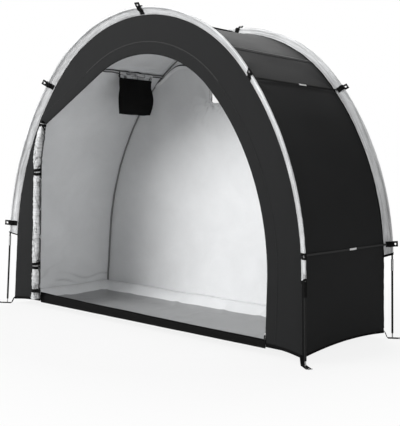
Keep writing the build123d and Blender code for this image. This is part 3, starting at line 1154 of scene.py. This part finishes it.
# Floor and sill
def floor_and_sill():
    half_x, half_y = base_half - 0.006, half_depth - 0.0035

    def place(u, v):
        x, y = (2 * u - 1) * half_x, (2 * v - 1) * half_y
        inward = np.minimum(half_x - np.abs(x), half_y - np.abs(y))
        rise = 1 - ease(inward / floor_flange)
        lip = 0.016 * ease((y + half_y) / 0.10) + 0.005 * ripple(x / 0.12 + y / 0.10, 0 * x, 54)
        tucks = 0.012 * crease(x / 0.11, y / 0.09, 51) * crease(x / 0.19, y / 0.15, 52)
        tucks = np.maximum(tucks, 0) + 0.0022 * (1 + ripple(x / 0.07, y / 0.06, 53))
        z = 0.0012 + (floor_rim + lip * ease((y + half_y) / 0.05)) * rise
        z = z + tucks * (0.35 + 0.65 * rise) * ease(inward / 0.03)
        return points(x, y, z), points(x, y)

    piece = laid_out("floor_cloth", 190, 76, place)
    for face in piece.data.polygons:
        inward = min(half_x - abs(face.center[0]), half_y - abs(face.center[1]))
        face.material_index = 1 if inward < floor_flange * 0.62 else 0
    dress(piece, [floor_grey, lining, black_cloth], ["floor_sheet"])
    thicken(piece, cloth_thick, -1.0, 2, 2)
    piece.data.shade_smooth()
    sill_low = 0.0350

    def sill_line(x):
        """Height of the sill's top, a little uneven along the doorway."""
        top = np.interp(x, (-door_left, -0.35, 0.20, door_right), (0.014, 0.006, 0.0, -0.003))
        return sill_top + top + 0.0012 * ripple(x / 0.09, 0 * x, 55)

    def strip(u, v):
        x = -door_left + 0.003 + u * (door_left + door_right - 0.006)
        z = sill_low + v * (sill_line(x) - sill_low)
        y = -half_depth + 0.0016 - 0.0016 * np.sin(pi * v) + 0.0012 * ripple(x / 0.06, v * 2, 56)
        return points(x, y, z), points(x, z)

    sill = laid_out("sill_cloth", 260, 8, strip)
    dress(sill, [black_cloth], ["door_sill"])
    thicken(sill, 0.0020, -1.0)
    smooth(sill, 50)
    x = np.linspace(-door_left + 0.012, door_right - 0.012, 260)
    y = -half_depth - 0.0002 + 0.0012 * ripple(x / 0.06, 1.6, 56)
    line = points(x, y, sill_line(x) - 0.003)
    piping = ribbon("sill_piping", line, (0, 0, 1), 0.006, 0.0034, 4, 0.0008)
    dress(piping, [binding])
    rows = []
    for z in (sill_line(x) - 0.009, 0 * x + sill_low + 0.006):
        row = points(x, y - 0.0012, z)
        rows.append(stitch_corners(row, (0, -1, 0)))
    return rows


# Pole sleeves
def fin_section(across):
    """Run and lift round a sleeve's section, from its inner root over the tunnel to its outer root."""
    way = 1 - np.abs(2 * across - 1)
    sign = np.where(across < 0.5, -1.0, 1.0)
    web = np.clip(way / 0.62, 0, 1)
    neck = tunnel_radius * sin(tunnel_pinch)
    web_run = web * (fin_width - tunnel_radius * cos(tunnel_pinch))
    web_lift = 0.0007 + (neck - 0.0007) * ease((web - 0.72) / 0.28)
    turn = (pi - tunnel_pinch) * (1 - np.clip((way - 0.62) / 0.38, 0, 1))
    round_run = fin_width + tunnel_radius * np.cos(turn)
    round_lift = tunnel_radius * np.sin(turn)
    on_web = way < 0.62
    return way, np.where(on_web, web_run, round_run), sign * np.where(on_web, web_lift, round_lift), web


def sleeve_span(side, way):
    """Lengths along the arch where a sleeve starts and ends, slanted a little."""
    left, right = sleeve_ends[side]
    slant = 0.014 * (1 - way)
    return left / cos(leg_lean) - slant, arch.length - right / cos(leg_lean) + slant


def sleeve_sway(s, run, web):
    """Wrinkles of the fin: gathers all along, and more of them beside the tabs and at the ends."""
    pull = sum(np.exp(-((s - spot) / 0.055) ** 2) for spot in tab_spots)
    ends = np.exp(-np.abs(np.minimum(s, arch.length - s) - 0.38) / 0.05)
    soft = 0.0019 * ripple(s / 0.045, run / 0.045, 61)
    soft = soft + 0.0011 * crease(s / 0.022 + run / 0.03, run / 0.05, 62)
    hard = 0.0044 * ripple(s / 0.017 + run / 0.05, run / 0.06, 63)
    return (soft + hard * np.clip(pull + 0.6 * ends, 0, 1)) * np.sin(pi * np.clip(web, 0, 1))


def sleeve(name, node, side):
    seed = 70 + side

    def place(u, v):
        way, run, lift, web = fin_section(v)
        low, high = sleeve_span(side, way)
        s = low + u * (high - low)
        sway = sleeve_sway(s + 3 * side, run, web)
        puff = 0.09 * ripple(s / 0.013, v * 9, seed) + 0.05 * ripple(s / 0.03, v * 5, seed + 3)
        round_it = ease((way - 0.55) / 0.15)
        run = run + (run - fin_width) * puff * round_it
        lift = lift * (1 + puff * round_it) + sway
        return on_fin(s, run, lift, side), points(s, v * sleeve_girth)

    piece = laid_out(name, 410, 44, place)
    merge(piece, 1e-7)
    dress(piece, [sleeve_silver], [node])
    thicken(piece, 0.0005)
    piece.data.shade_smooth()


def sleeve_trim(side):
    """Stitch rows along a sleeve and the binding round its two open ends."""
    low, high = sleeve_span(side, 1.0)
    s = np.linspace(low + 0.002, high - 0.002, 1500)
    rows = []
    for run in (0.005, 0.0085, fin_width - tunnel_radius - 0.0025):
        web = np.full_like(s, run / (fin_width - tunnel_radius * cos(tunnel_pinch)))
        sway = sleeve_sway(s + 3 * side, run, web)
        rise = 0.0012 if run < 0.02 else 0.0026
        for face in (1, -1):
            row = on_fin(s, run, sway + face * rise, side)
            rows.append(stitch_corners(row, face * fin_face(s, side), 0.0068, (0.0042, 0.0008, 0.0006)))
    ends = []
    for left in (True, False):
        v = np.linspace(0.0, 1.0, 45)
        way, run, lift, web = fin_section(v)
        low, high = sleeve_span(side, way)
        s = low + 0.002 if left else high - 0.002
        sway = sleeve_sway(s + 3 * side, run, web)
        line = on_fin(s, run + 0.0006 * (way - 0.5), lift * 1.07 + np.sign(lift) * 0.0004 + sway, side)
        side_way = arch.ahead(0.3 if left else arch.length - 0.3)
        ends.append(ribbon("end", line, side_way, 0.006 if left else 0.011, 0.0014, 2))
    if side < 0:
        turn = np.linspace(0, 2 * pi, 33)
        s = np.full_like(turn, high.max() + 0.024)
        size = tunnel_radius + 0.0014 + 0.0008 * ripple(turn / (2 * pi) * 6, 0 * turn, 67, 6)
        line = on_fin(s, fin_width + size * np.cos(turn), size * np.sin(turn), side)
        line[-1] = line[0]
        ends.append(ribbon("end", line, arch.ahead(s[0]), 0.066, 0.0012, 6, 0.0, True))
    return rows, ends


def seam_bindings():
    """Bound edges of the long seams inside both arches, the rear piping, and the back wall's pleat with a
    painted shadow under it.
    """
    tapes = []
    s = np.linspace(0.05, arch.length - 0.05, 420)
    for side in (-1, 1):
        y = np.full_like(s, side * (half_depth - 0.0060))
        line = on_shell(s, y, -0.0026)
        tapes.append(ribbon("tape", line, (0.0, 1.0, 0.0), 0.009, 0.0012, 2))
    dress(joined(tapes, "arch_seam_bindings"), [pale_tape])
    cords = []
    for off in (0.0020, 0.0115):
        y = half_depth - off + 0.0015 * ripple(s / 0.05, 0 * s, 66)
        cords.append(ribbon("cord", on_shell(s, y, -0.0042), (0.0, 1.0, 0.0), 0.0020, 0.0012, 2))
    dress(joined(cords, "rear_seam_cords"), [edge_grey])
    y = np.full_like(s, half_depth - 0.0035)
    outer = ribbon("rear_seam_piping", on_shell(s, y, 0.0010), (0.0, 1.0, 0.0), 0.006, 0.0012, 2)
    dress(outer, [binding])
    pleat_x = np.linspace(-0.588, -0.318, 60)
    crease_z = np.interp(pleat_x, (-0.588, -0.513, -0.468, -0.423, -0.379, -0.318),
                         (1.262, 1.322, 1.357, 1.381, 1.386, 1.374))
    crease_z = np.convolve(np.pad(crease_z, 5, "edge"), np.ones(11) / 11, "valid")
    slope = np.gradient(crease_z, pleat_x)
    up = points(-slope, 0.0, 1.0) / np.hypot(slope, 1)[:, None]
    # pleat_shadow is a dark strip painted as the fold's shadow on the wall; pleat_fold is the fold itself.
    for name, drop, width, proud, finish in (("pleat_shadow", 0.0, 0.007, 0.0052, shadow_and_cord_tape),
                                             ("pleat_fold", 0.013, 0.017, 0.0064, lining)):
        line = points(pleat_x, 0.0, crease_z - drop * ease((pleat_x + 0.588) / 0.06))
        line[:, 1] = back_face(line[:, 0], line[:, 2]) - proud
        side = up + np.array((0.0, -0.35 if finish is lining else 0.0, 0.0))
        dress(ribbon(name, line, side, width, 0.0010, 4, 0.0012), [finish])


def hem_bindings():
    """Tape folded over the lower edges of the walls and end panels."""
    tapes = []
    y = np.linspace(-half_depth + 0.001, half_depth - 0.001, 90)
    for sign, hem in ((-1, left_hem), (1, right_hem)):
        s = hem(y)
        line = on_shell(s, y, -0.0004)
        up = (-sign * sin(leg_lean), 0, cos(leg_lean))
        tapes.append(edge_tape("hem", line, up, arch.away(s), 0.010, 0.0013))
    for low_x, high_x in ((-base_half, -door_left), (door_right, base_half)):
        x = np.linspace(low_x + 0.001, high_x - 0.001, 40)
        share = (x - low_x) / (high_x - low_x)
        ends = (hem_corner, foot_left) if low_x < 0 else (foot_right, hem_corner)
        z = ends[0] + (ends[1] - ends[0]) * share + hem_bow * np.sin(pi * share)
        line = points(x, front_face(x, z) + 0.0005, z)
        tapes.append(edge_tape("hem", line, (0, 0, 1), (0, -1, 0), 0.014, 0.0015))
    x = np.linspace(-base_half + 0.001, base_half - 0.001, 160)
    line = points(x, half_depth - 0.0005, hem_height(x / base_half))
    tapes.append(edge_tape("hem", line, (0, 0, 1), (0, 1, 0), 0.010, 0.0013))
    hem = joined(tapes, "hem_bindings")
    dress(hem, [binding])


# Tabs, straps and eyelets
tab_end = fin_width + tunnel_radius + tab_reach
tab_lift = tunnel_radius + 0.0024


def tab_line(spot, side):
    """A tab's middle line: up the fin's outer face, out to a fold and back over the tunnel inside."""
    run = np.linspace(0.004, tab_end - 0.0012, 30)
    step = ease((run - 0.020) / 0.014)
    outer = points(run, 0.0019 + (tab_lift - 0.0019) * step)
    turn = np.linspace(pi / 2, -pi / 2, 9)[1:-1]
    fold = points(tab_end - 0.0012 + 0.0012 * np.cos(turn), tab_lift - 0.0012 + 0.0012 * np.sin(turn))
    run = np.linspace(tab_end - 0.0012, fin_width + tunnel_radius + 0.0045, 8)
    back = points(run, tab_lift - 0.0024)
    turn = np.linspace(radians(20), -pi / 2, 16)
    round_it = points(fin_width + tab_lift * np.cos(turn), tab_lift * np.sin(turn))
    run = np.linspace(fin_width - 0.002, 0.011, 18)
    step = ease((run - 0.020) / 0.014)
    inner = points(run, -0.0019 - (tab_lift - 0.0019) * step)
    path = np.concatenate([outer, fold, back, round_it, inner])
    return on_fin(spot, path[:, 0], path[:, 1], side)


def guy_tabs():
    rows = []
    eyes = []
    for side, name, node in ((-1, "front_tabs", "front_guy_tabs"), (1, "rear_tabs", "rear_guy_tabs")):
        tabs = []
        for spot in tab_spots:
            line = tab_line(spot, side)
            along = arch.ahead(spot)
            tab = ribbon("tab", line, along, tab_width, 0.0020, 8)
            face = fin_face(spot, side)[0]
            hole = on_fin(spot, tab_end - 0.012, tab_lift - 0.0012, side)
            pierce(tab, hole, face, 0.0046)
            smooth(tab)
            eyes.append(upright_at(hole, face))
            tabs.append(tab)
            lift = face * 0.0014
            for first, last, sign in ((1, 12, 1), (-12, -1, -1)):
                for off in (-0.009, 0.009):
                    row = line[first:last] + along * off + sign * lift
                    rows.append(stitch_corners(row, sign * face, 0.004, small_stitch))
            for index, sign in ((1, 1), (12, 1), (-12, -1), (-2, -1)):
                across = np.linspace(-0.009, 0.009, 12)[:, None] * along
                row = line[index] + sign * lift + across
                rows.append(stitch_corners(row, sign * face, 0.004, small_stitch))
        whole = joined(tabs, name)
        dress(whole, [webbing], [node])
    return rows, eyes


def tie_straps():
    """Straps from fin to fin over the cloth, each with a reflective patch."""
    rows = []
    patches = []
    reach = half_depth + fin_root_gap + strap_lift * tan(fin_lean) - 0.0012
    for place, drop in tab_drops.items():
        for sign, hand in ((-1, "left"), (1, "right")):
            if place == "ridge" and sign > 0:
                continue
            spot = apex + sign * drop
            x, z = arch.at(spot)
            along, out = arch.ahead(spot), arch.away(spot)
            y = np.linspace(-reach, reach, 70)
            stand = strap_lift - 0.0012 * (1 - (y / reach) ** 2)
            line = np.array((x, 0, z)) + stand[:, None] * out + y[:, None] * np.array((0, 1, 0))
            drift = 0.0008 * ripple(y / 0.12, drop * 9 + sign, 81)
            line = line + drift[:, None] * along
            tilt = radians(78 if place == "ridge" else 0) * ease((1 - np.abs(y) / reach) * 6)
            flat = along * np.cos(tilt)[:, None] - out * np.sin(tilt)[:, None]
            face = along * np.sin(tilt)[:, None] + out * np.cos(tilt)[:, None]
            strap = ribbon("strap", line, flat, strap_width - 0.001, 0.0018, 4, 0.0002)
            whole = "ridge" if place == "ridge" else f"{hand}_{place}"
            strap.name = f"{whole}_strap"
            # The lower straps take the paler tape as a painted highlight.
            dress(strap, [highlight_tape if place == "lower" else webbing], [f"{whole}_tie_strap"])
            spots = np.linspace(0.020, 0.080, 14)
            short = sampled(spots, y, line + face * 0.0014)
            lean, away = sampled(spots, y, flat), sampled(spots, y, face)
            patches.append(ribbon("patch", short, lean, strap_width - 0.001, 0.0008, 4, 0.0002))
            for off in (-0.0034, 0.0034):
                row = short + lean * off + away * 0.0006
                rows.append(stitch_corners(row, away, 0.004, (0.0028, 0.0007, 0.0005)))
            for end in (-1, 1):
                for inset in (0.008, 0.014):
                    across = np.linspace(-0.004, 0.004, 8)[:, None] * along
                    spot_y = np.array((x, end * (reach - inset), z)) + out * (strap_lift + 0.001)
                    rows.append(stitch_corners(spot_y + across, out, 0.0018, (0.0030, 0.0009, 0.0006)))
    whole = joined(patches, "reflective_patches")
    dress(whole, [patch], ["strap_reflectors"])
    return rows


def foot_straps():
    """Webbing from each lower corner to the pole's foot and on to its peg eyelet."""
    corner_x = base_half - hem_corner * tan(leg_lean)
    forward = fin_root_gap + fin_width * sin(fin_lean)
    run = hypot(foot_half - corner_x, forward)
    end = run + 0.050
    d = np.linspace(0.0003, end, 60)
    bend = run - 0.022
    z = np.where(d < bend, 0.0348 - (0.0348 - 0.00135) * ease(d / bend * 0.92 + 0.04), 0.00135)
    z = np.minimum(z, 0.036)
    z = z + 0.0030 * ease((d - end + 0.012) / 0.012)
    rows = []
    eyes = []
    raised = np.array((0, 0, 0.0014))
    for hand_x, right in ((1, "right"), (-1, "left")):
        for hand_y, row_name in ((-1, "front"), (1, "rear")):
            way = np.array((hand_x * (foot_half - corner_x), hand_y * forward, 0.0)) / run
            side = np.array((-way[1], way[0], 0.0))
            start = np.array((hand_x * corner_x, hand_y * half_depth, 0.0))
            line = start + d[:, None] * way + z[:, None] * np.array((0, 0, 1.0))
            strap = ribbon("strap", line, side, 0.025, 0.0024, 8)
            pin = start + run * way + np.array((0, 0, 0.0013))
            peg = start + (end - 0.014) * way + np.array((0, 0, 0.0015))
            pierce(strap, pin, (0, 0, 1), 0.0036)
            pierce(strap, peg, (0, 0, 1), 0.0051)
            smooth(strap)
            strap.name = f"{row_name}_{right}_strap"
            dress(strap, [webbing], [f"{row_name}_{right}_foot_strap"])
            eyes.append(upright_at(peg, (0, 0, 1)))
            for off in (-0.0095, 0.0095):
                rows.append(stitch_corners(line[2:20] + side * off + raised, (0, 0, 1), 0.004))
            for index in (20, 34):
                across = np.linspace(-0.0095, 0.0095, 12)[:, None] * side
                rows.append(stitch_corners(line[index] + across + raised, (0, 0, 1), 0.004))
    return rows, eyes


def rolled_eyelet(radius, half_high, rim):
    """A rolled metal eyelet, upright at the origin: a ring flattened to its height."""
    bpy.ops.mesh.primitive_torus_add(major_segments=32, minor_segments=12,
                                     major_radius=radius + rim - 0.0003, minor_radius=rim)
    ring = bpy.context.object
    edit_all(bpy.ops.transform.resize, value=(1.0, 1.0, half_high / rim))
    smooth(ring)
    return ring


# Rolled door
straight_length = roll_straight_top - roll_foot
bend_length = roll_bend_radius * roll_bend
roll_length = straight_length + bend_length + roll_top_length


def roll_centre(along):
    """Middle of the roll and its sideways direction, at a length up from its foot."""
    turn = np.clip((along - straight_length) / roll_bend_radius, 0, roll_bend)
    beyond = np.maximum(along - straight_length - bend_length, 0)
    x = roll_x + roll_bend_radius * (1 - np.cos(turn)) + beyond * np.sin(turn)
    z = roll_foot + np.minimum(along, straight_length) + roll_bend_radius * np.sin(turn)
    z = z + beyond * np.cos(turn)
    return points(x, roll_y, z), points(np.cos(turn), 0.0, -np.sin(turn))


def round_roll(along, turn, reach):
    """Places round the roll, this far from its middle."""
    centre, across = roll_centre(along)
    spots = centre + across * (reach * np.cos(turn))[:, None]
    spots[:, 1] += reach * np.sin(turn)
    return spots


def roll_pinch(along):
    """How tightly the ties hold the roll, from 0 to 1."""
    hold = 0 * along
    for name, height in tie_heights.items():
        for off in ((-0.010, 0.010) if name != "lower" else (0.0,)):
            hold = np.maximum(hold, np.exp(-((along + roll_foot - height - off) / 0.017) ** 2))
    return hold


roll_marks = [0.0, 0.020, 0.060, 0.170, 0.300, 0.560, 0.700, 0.780, 0.880, roll_length]
roll_widths = [1.16, 1.08, 0.98, 0.96, 0.88, 0.86, 0.84, 1.00, 0.98, 0.60]


def roll_folds(along, turn):
    """Folds of the roll, from 0 to 1: long twisted ones, and short ones across them."""
    cells = turn / (2 * pi)
    twist = cells * 3 + 3 * ease((along - 0.62) / 0.3) * cells
    long = groove(cells * 3 + along * 4, along / 0.11 + twist, 92, 3, 0.15)
    short = groove(cells * 7, along / 0.026 + cells * 2, 93, 7, 0.17)
    patchy = ease(0.6 + 1.2 * ripple(cells * 4, along / 0.05, 95, 4))
    return np.clip(0.85 * long + 0.95 * short * patchy, 0, 1)


def roll_size(along, turn):
    """Radius of the roll's outer layer, with its crumples."""
    pinch = roll_pinch(along)
    full = np.interp(along, roll_marks, roll_widths)
    crumple = 0.09 * ripple(turn / (2 * pi) * 12, along / 0.012, 94, 12)
    crumple = crumple - 0.24 * roll_folds(along, turn) + 0.07
    return roll_radius * full * (1 - 0.10 * pinch) * (1 + crumple * (1 - 0.7 * pinch))


def rolled_door():
    turns = 15.25
    inner = 0.0035

    def place(u, v):
        wound = np.where(u < 0.58, u / 0.58 * (turns - 1.75), turns - 1.75 + (u - 0.58) / 0.42 * 1.75)
        turn = 2 * pi * (wound - turns) + pi / 2
        along = v * roll_length
        along = along + (0.006 * np.sin(turn) + 0.004 * ripple(wound * 1.5, 0 * u, 95)) * (1 - ease(v * 12))
        share = (inner + (roll_radius - inner) * wound / turns) / roll_radius
        spots = round_roll(along, turn, roll_size(along, turn) * share)
        cut = 2 * pi * (inner * wound + (roll_radius - inner) * wound ** 2 / (2 * turns))
        # The same folds that dent the roll also paint shade into its colour through the fold attribute.
        return spots, points(cut, along), roll_folds(along, turn)

    piece = laid_out("rolled_door_cloth", 200, 236, place)
    dress(piece, [roll_silver, charcoal], ["rolled_door"])
    thicken(piece, 0.0004, 0.0, 1, 1)
    piece.data.shade_smooth()
    along = np.linspace(0.004, roll_length - 0.02, 170)
    turn = radians(12) + 0.16 * ripple(along / 0.09, 0 * along, 98)
    line = round_roll(along, turn, roll_size(along, turn) + 0.0011)
    centre, across = roll_centre(along)
    side = -across * np.sin(turn)[:, None]
    side[:, 1] += np.cos(turn)
    tape = ribbon("door_edge_tape", line, side, 0.011, 0.0012, 4, -0.0006)
    dress(tape, [edge_grey])
    bits = []
    turn = np.linspace(0, 2 * pi, 49)
    for along, lean, width, reach in ((roll_length - 0.012, 0.5, 0.016, 1.0),
                                      (roll_length + 0.002, -0.7, 0.011, 0.62)):
        size = np.maximum(roll_size(along - 0.004, turn), roll_radius * 0.5) * reach + 0.0014
        line = round_roll(along, turn, size)
        line[:, 2] += 0.006 * lean * np.cos(turn) + 0.0016 * ripple(turn * 2, lean, 97)
        line[-1] = line[0]
        bits.append(ribbon("bit", line, (0.25, 0, 0.97), width, 0.0016, 4, 0.0, True))
    centre, across = roll_centre(np.array([roll_length - 0.012]))
    drop = np.linspace(0, 1, 20)
    tail = points(
        centre[0, 0] + 0.012 + 0.010 * np.sin(drop * 2.2),
        centre[0, 1] - 0.009 - 0.004 * np.sin(drop * 4),
        centre[0, 2] + 0.004 - 0.030 * drop,
    )
    bits.append(ribbon("bit", tail, (0.8, 0.6, 0), 0.008, 0.0016, 3))
    dress(joined(bits, "roll_top_loop"), [webbing])


def door_ties():
    """Bands round the roll, each pair with a loop and toggle."""
    toggles = []
    for name, height in tie_heights.items():
        bands = []
        for off in ((-0.0095, 0.0095) if name != "lower" else (0.0,)):
            along = height + off - roll_foot
            turn = np.linspace(0, 2 * pi, 65)
            line = round_roll(along, turn, np.maximum(roll_size(along, turn), roll_radius * 0.84) + 0.0012)
            line[:, 2] += 0.0030 * np.sin(turn + off * 90)
            line[-1] = line[0]
            width = 0.015 if name != "lower" else 0.019
            bands.append(ribbon("band", line, (0, 0, 1), width, 0.0016, 4, 0.0, True))
        if name != "lower":
            t = np.linspace(0, 1, 40)
            loop_x = roll_x + roll_radius * 0.86 + 0.007 * np.sin(pi * t)
            loop_z = height + 0.010 + 0.024 * np.sin(pi * t) ** 0.8
            loop_y = roll_y - 0.006 - 0.010 * np.cos(pi * t)
            line = points(loop_x, loop_y, loop_z)
            bands.append(ribbon("loop", line, (1, 0, 0.2), 0.004, 0.0022, 3))
            toggle_x = roll_x + roll_radius * 0.86 + 0.0065
            toggles.append(Matrix.Translation((toggle_x, roll_y - 0.006, height + 0.031)))
        else:
            t = np.linspace(0, 1, 16)
            tail_x = roll_x + roll_radius * (0.80 + 0.85 * t)
            line = points(tail_x, roll_y - 0.012 + 0.012 * t, height - 0.002 - 0.004 * t)
            bands.append(ribbon("tail", line, (0, 0.25, 0.97), 0.016, 0.0016, 4))
        tie = joined(bands, f"tie_{name}")
        dress(tie, [webbing], [f"door_tie_{name}"])
    bpy.ops.mesh.primitive_cylinder_add(vertices=20, radius=0.0038, depth=0.020, rotation=(pi / 2, 0, 0.3))
    bar = bpy.context.object
    bpy.ops.object.transform_apply(location=True, rotation=True, scale=True)
    edit_all(bpy.ops.mesh.bevel, offset=0.0016, segments=3, affect="EDGES", clamp_overlap=True)
    smooth(bar)
    whole = copies(bar, toggles, "tie_toggles")
    dress(whole, [moulding])


# Hanging pocket
def hanging_pocket():
    middle = pocket_front + pocket_width / 2

    def pouch(u, v):
        round_it = 2 * pi * u
        narrow = 1 - 0.035 * (1 - v) + 0.020 * np.sin(pi * np.clip(v * 1.3, 0, 1))
        half = pocket_width / 2 * narrow
        y = middle + half * np.sign(np.cos(round_it)) * np.abs(np.cos(round_it)) ** 0.55
        y = y + 0.020 * np.sin(pi * np.clip(v * 1.25, 0, 1)) * ease((y - middle) / half)
        full = 0.0022 + 0.0085 * np.sin(pi * np.clip(1 - v, 0, 1)) ** 0.7 * (1 - v * 0.4)
        x = pocket_x + full * np.sign(np.sin(round_it)) * np.abs(np.sin(round_it)) ** 0.7
        x = x + 0.0016 * ripple(y / 0.035, v * 4, 101) * np.sin(pi * v)
        x = x + 0.0050 * crease(y / 0.10 + v * 1.4, v * 2.2, 103) * np.sin(pi * v) * np.sin(pi * u) ** 2
        z = pocket_low + v * (pocket_high - pocket_low) - 0.004 * np.cos((y - middle) * 9) * (1 - v)
        z = z + 0.0022 * ripple(y / 0.05, 0 * v, 102) * (1 - v)
        return points(x, y, z), points(u * 2 * pocket_width, z)

    piece = laid_out("pocket_cloth", 112, 40, pouch)
    merge(piece, 1e-7)
    dress(piece, [black_cloth], ["hanging_pocket"])
    thicken(piece, 0.0007)
    piece.data.shade_smooth()

    def band(u, v):
        y = pocket_front - 0.001 + u * (pocket_width + 0.002)
        dent = groove(y / 0.034 + v, v * 2.2, 105) * np.sin(pi * v) ** 0.6
        x = pocket_x + 0.010 * ease(v) - 0.0100 * dent
        x = x + 0.0040 * ripple(y / 0.014, v * 3, 106) * np.sin(pi * v) ** 0.5
        z = pocket_high - 0.008 + v * 0.044 + 0.0040 * ripple(y / 0.03, v, 107) * (1 - v)
        # Painted shade in the band's crinkled dents, darkening its colour there.
        band_crease_shade = groove(y / 0.030 + v, v * 2.4, 108, 61, 0.22) * np.sin(pi * v) ** 0.4
        return points(x, y, z), points(y, z), band_crease_shade

    cuff = laid_out("pocket_band_cloth", 96, 20, band)
    dress(cuff, [roll_silver], ["pocket_band"])
    thicken(cuff, 0.0012, 0.0)
    smooth(cuff, 60)
    drop = np.linspace(pocket_high + 0.036, pocket_high - 0.012, 12)
    line = points(pocket_x + 0.004, pocket_front + 0.001, drop)
    dress(ribbon("pocket_hanger", line, (0, 1, 0), 0.007, 0.0016, 3), [binding])
    y = np.linspace(pocket_front + 0.002, pocket_front + pocket_width - 0.002, 60)
    line = points(pocket_x + 0.0045, y, pocket_high - 0.003)
    tape = ribbon("pocket_top_tape", line, (0, 0, 1), 0.012, 0.0012, 3)
    dress(tape, [binding])
    rows = []
    for z in (pocket_high - 0.0065, pocket_high + 0.0005):
        row = points(pocket_x + 0.0055, y, z)
        rows.append(stitch_corners(row, (1, 0, 0)))
    return rows


# Metal and rods, kept from the frame
def finish_poles():
    for name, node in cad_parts.items():
        tone = None
        if "pole_leg" in name or "pole_arch" in name:
            tone = rod
        elif name == "pole_ferrules":
            tone = aluminium
        elif name == "pole_foot_pins":
            tone = steel
        if tone is not None:
            node.data.materials.clear()
            node.data.materials.append(tone)
        if "pole_leg" in name or name == "pole_ferrules":
            fuller = node.modifiers.new("fuller", "DISPLACE")
            fuller.strength = 0.0010
            fuller.mid_level = 0.0


add_camera()
add_studio()
sleeve("front_sleeve_cloth", "front_sleeve", -1)
sleeve("rear_sleeve_cloth", "rear_sleeve", 1)
shell_panels()
dark_rows = cross_seams()
front_wall()
dark_rows += zip_flap()
door_zip()
dark_rows += back_wall()
dark_rows += floor_and_sill()
silver_rows = []
end_tapes = []
for sleeve_side in (-1, 1):
    trim_rows, trim_ends = sleeve_trim(sleeve_side)
    silver_rows += trim_rows
    end_tapes += trim_ends
dress(joined(end_tapes, "sleeve_end_bindings"), [binding])
seam_bindings()
hem_bindings()
tab_rows, tab_eyes = guy_tabs()
strap_rows = tie_straps()
foot_rows, foot_eyes = foot_straps()
dress(copies(rolled_eyelet(0.0046, 0.0030, 0.0014), tab_eyes, "tab_eyelets"), [nickel])
dress(copies(rolled_eyelet(0.0051, 0.0013, 0.0019), foot_eyes, "peg_eyelets"), [nickel])
rolled_door()
door_ties()
dark_rows += hanging_pocket()
sewn("dark_stitching", dark_rows + tab_rows + strap_rows + foot_rows, dark_thread)
sewn("sleeve_stitching", silver_rows, silver_thread)
finish_poles()
bpy.context.scene.view_settings.view_transform = "Standard"
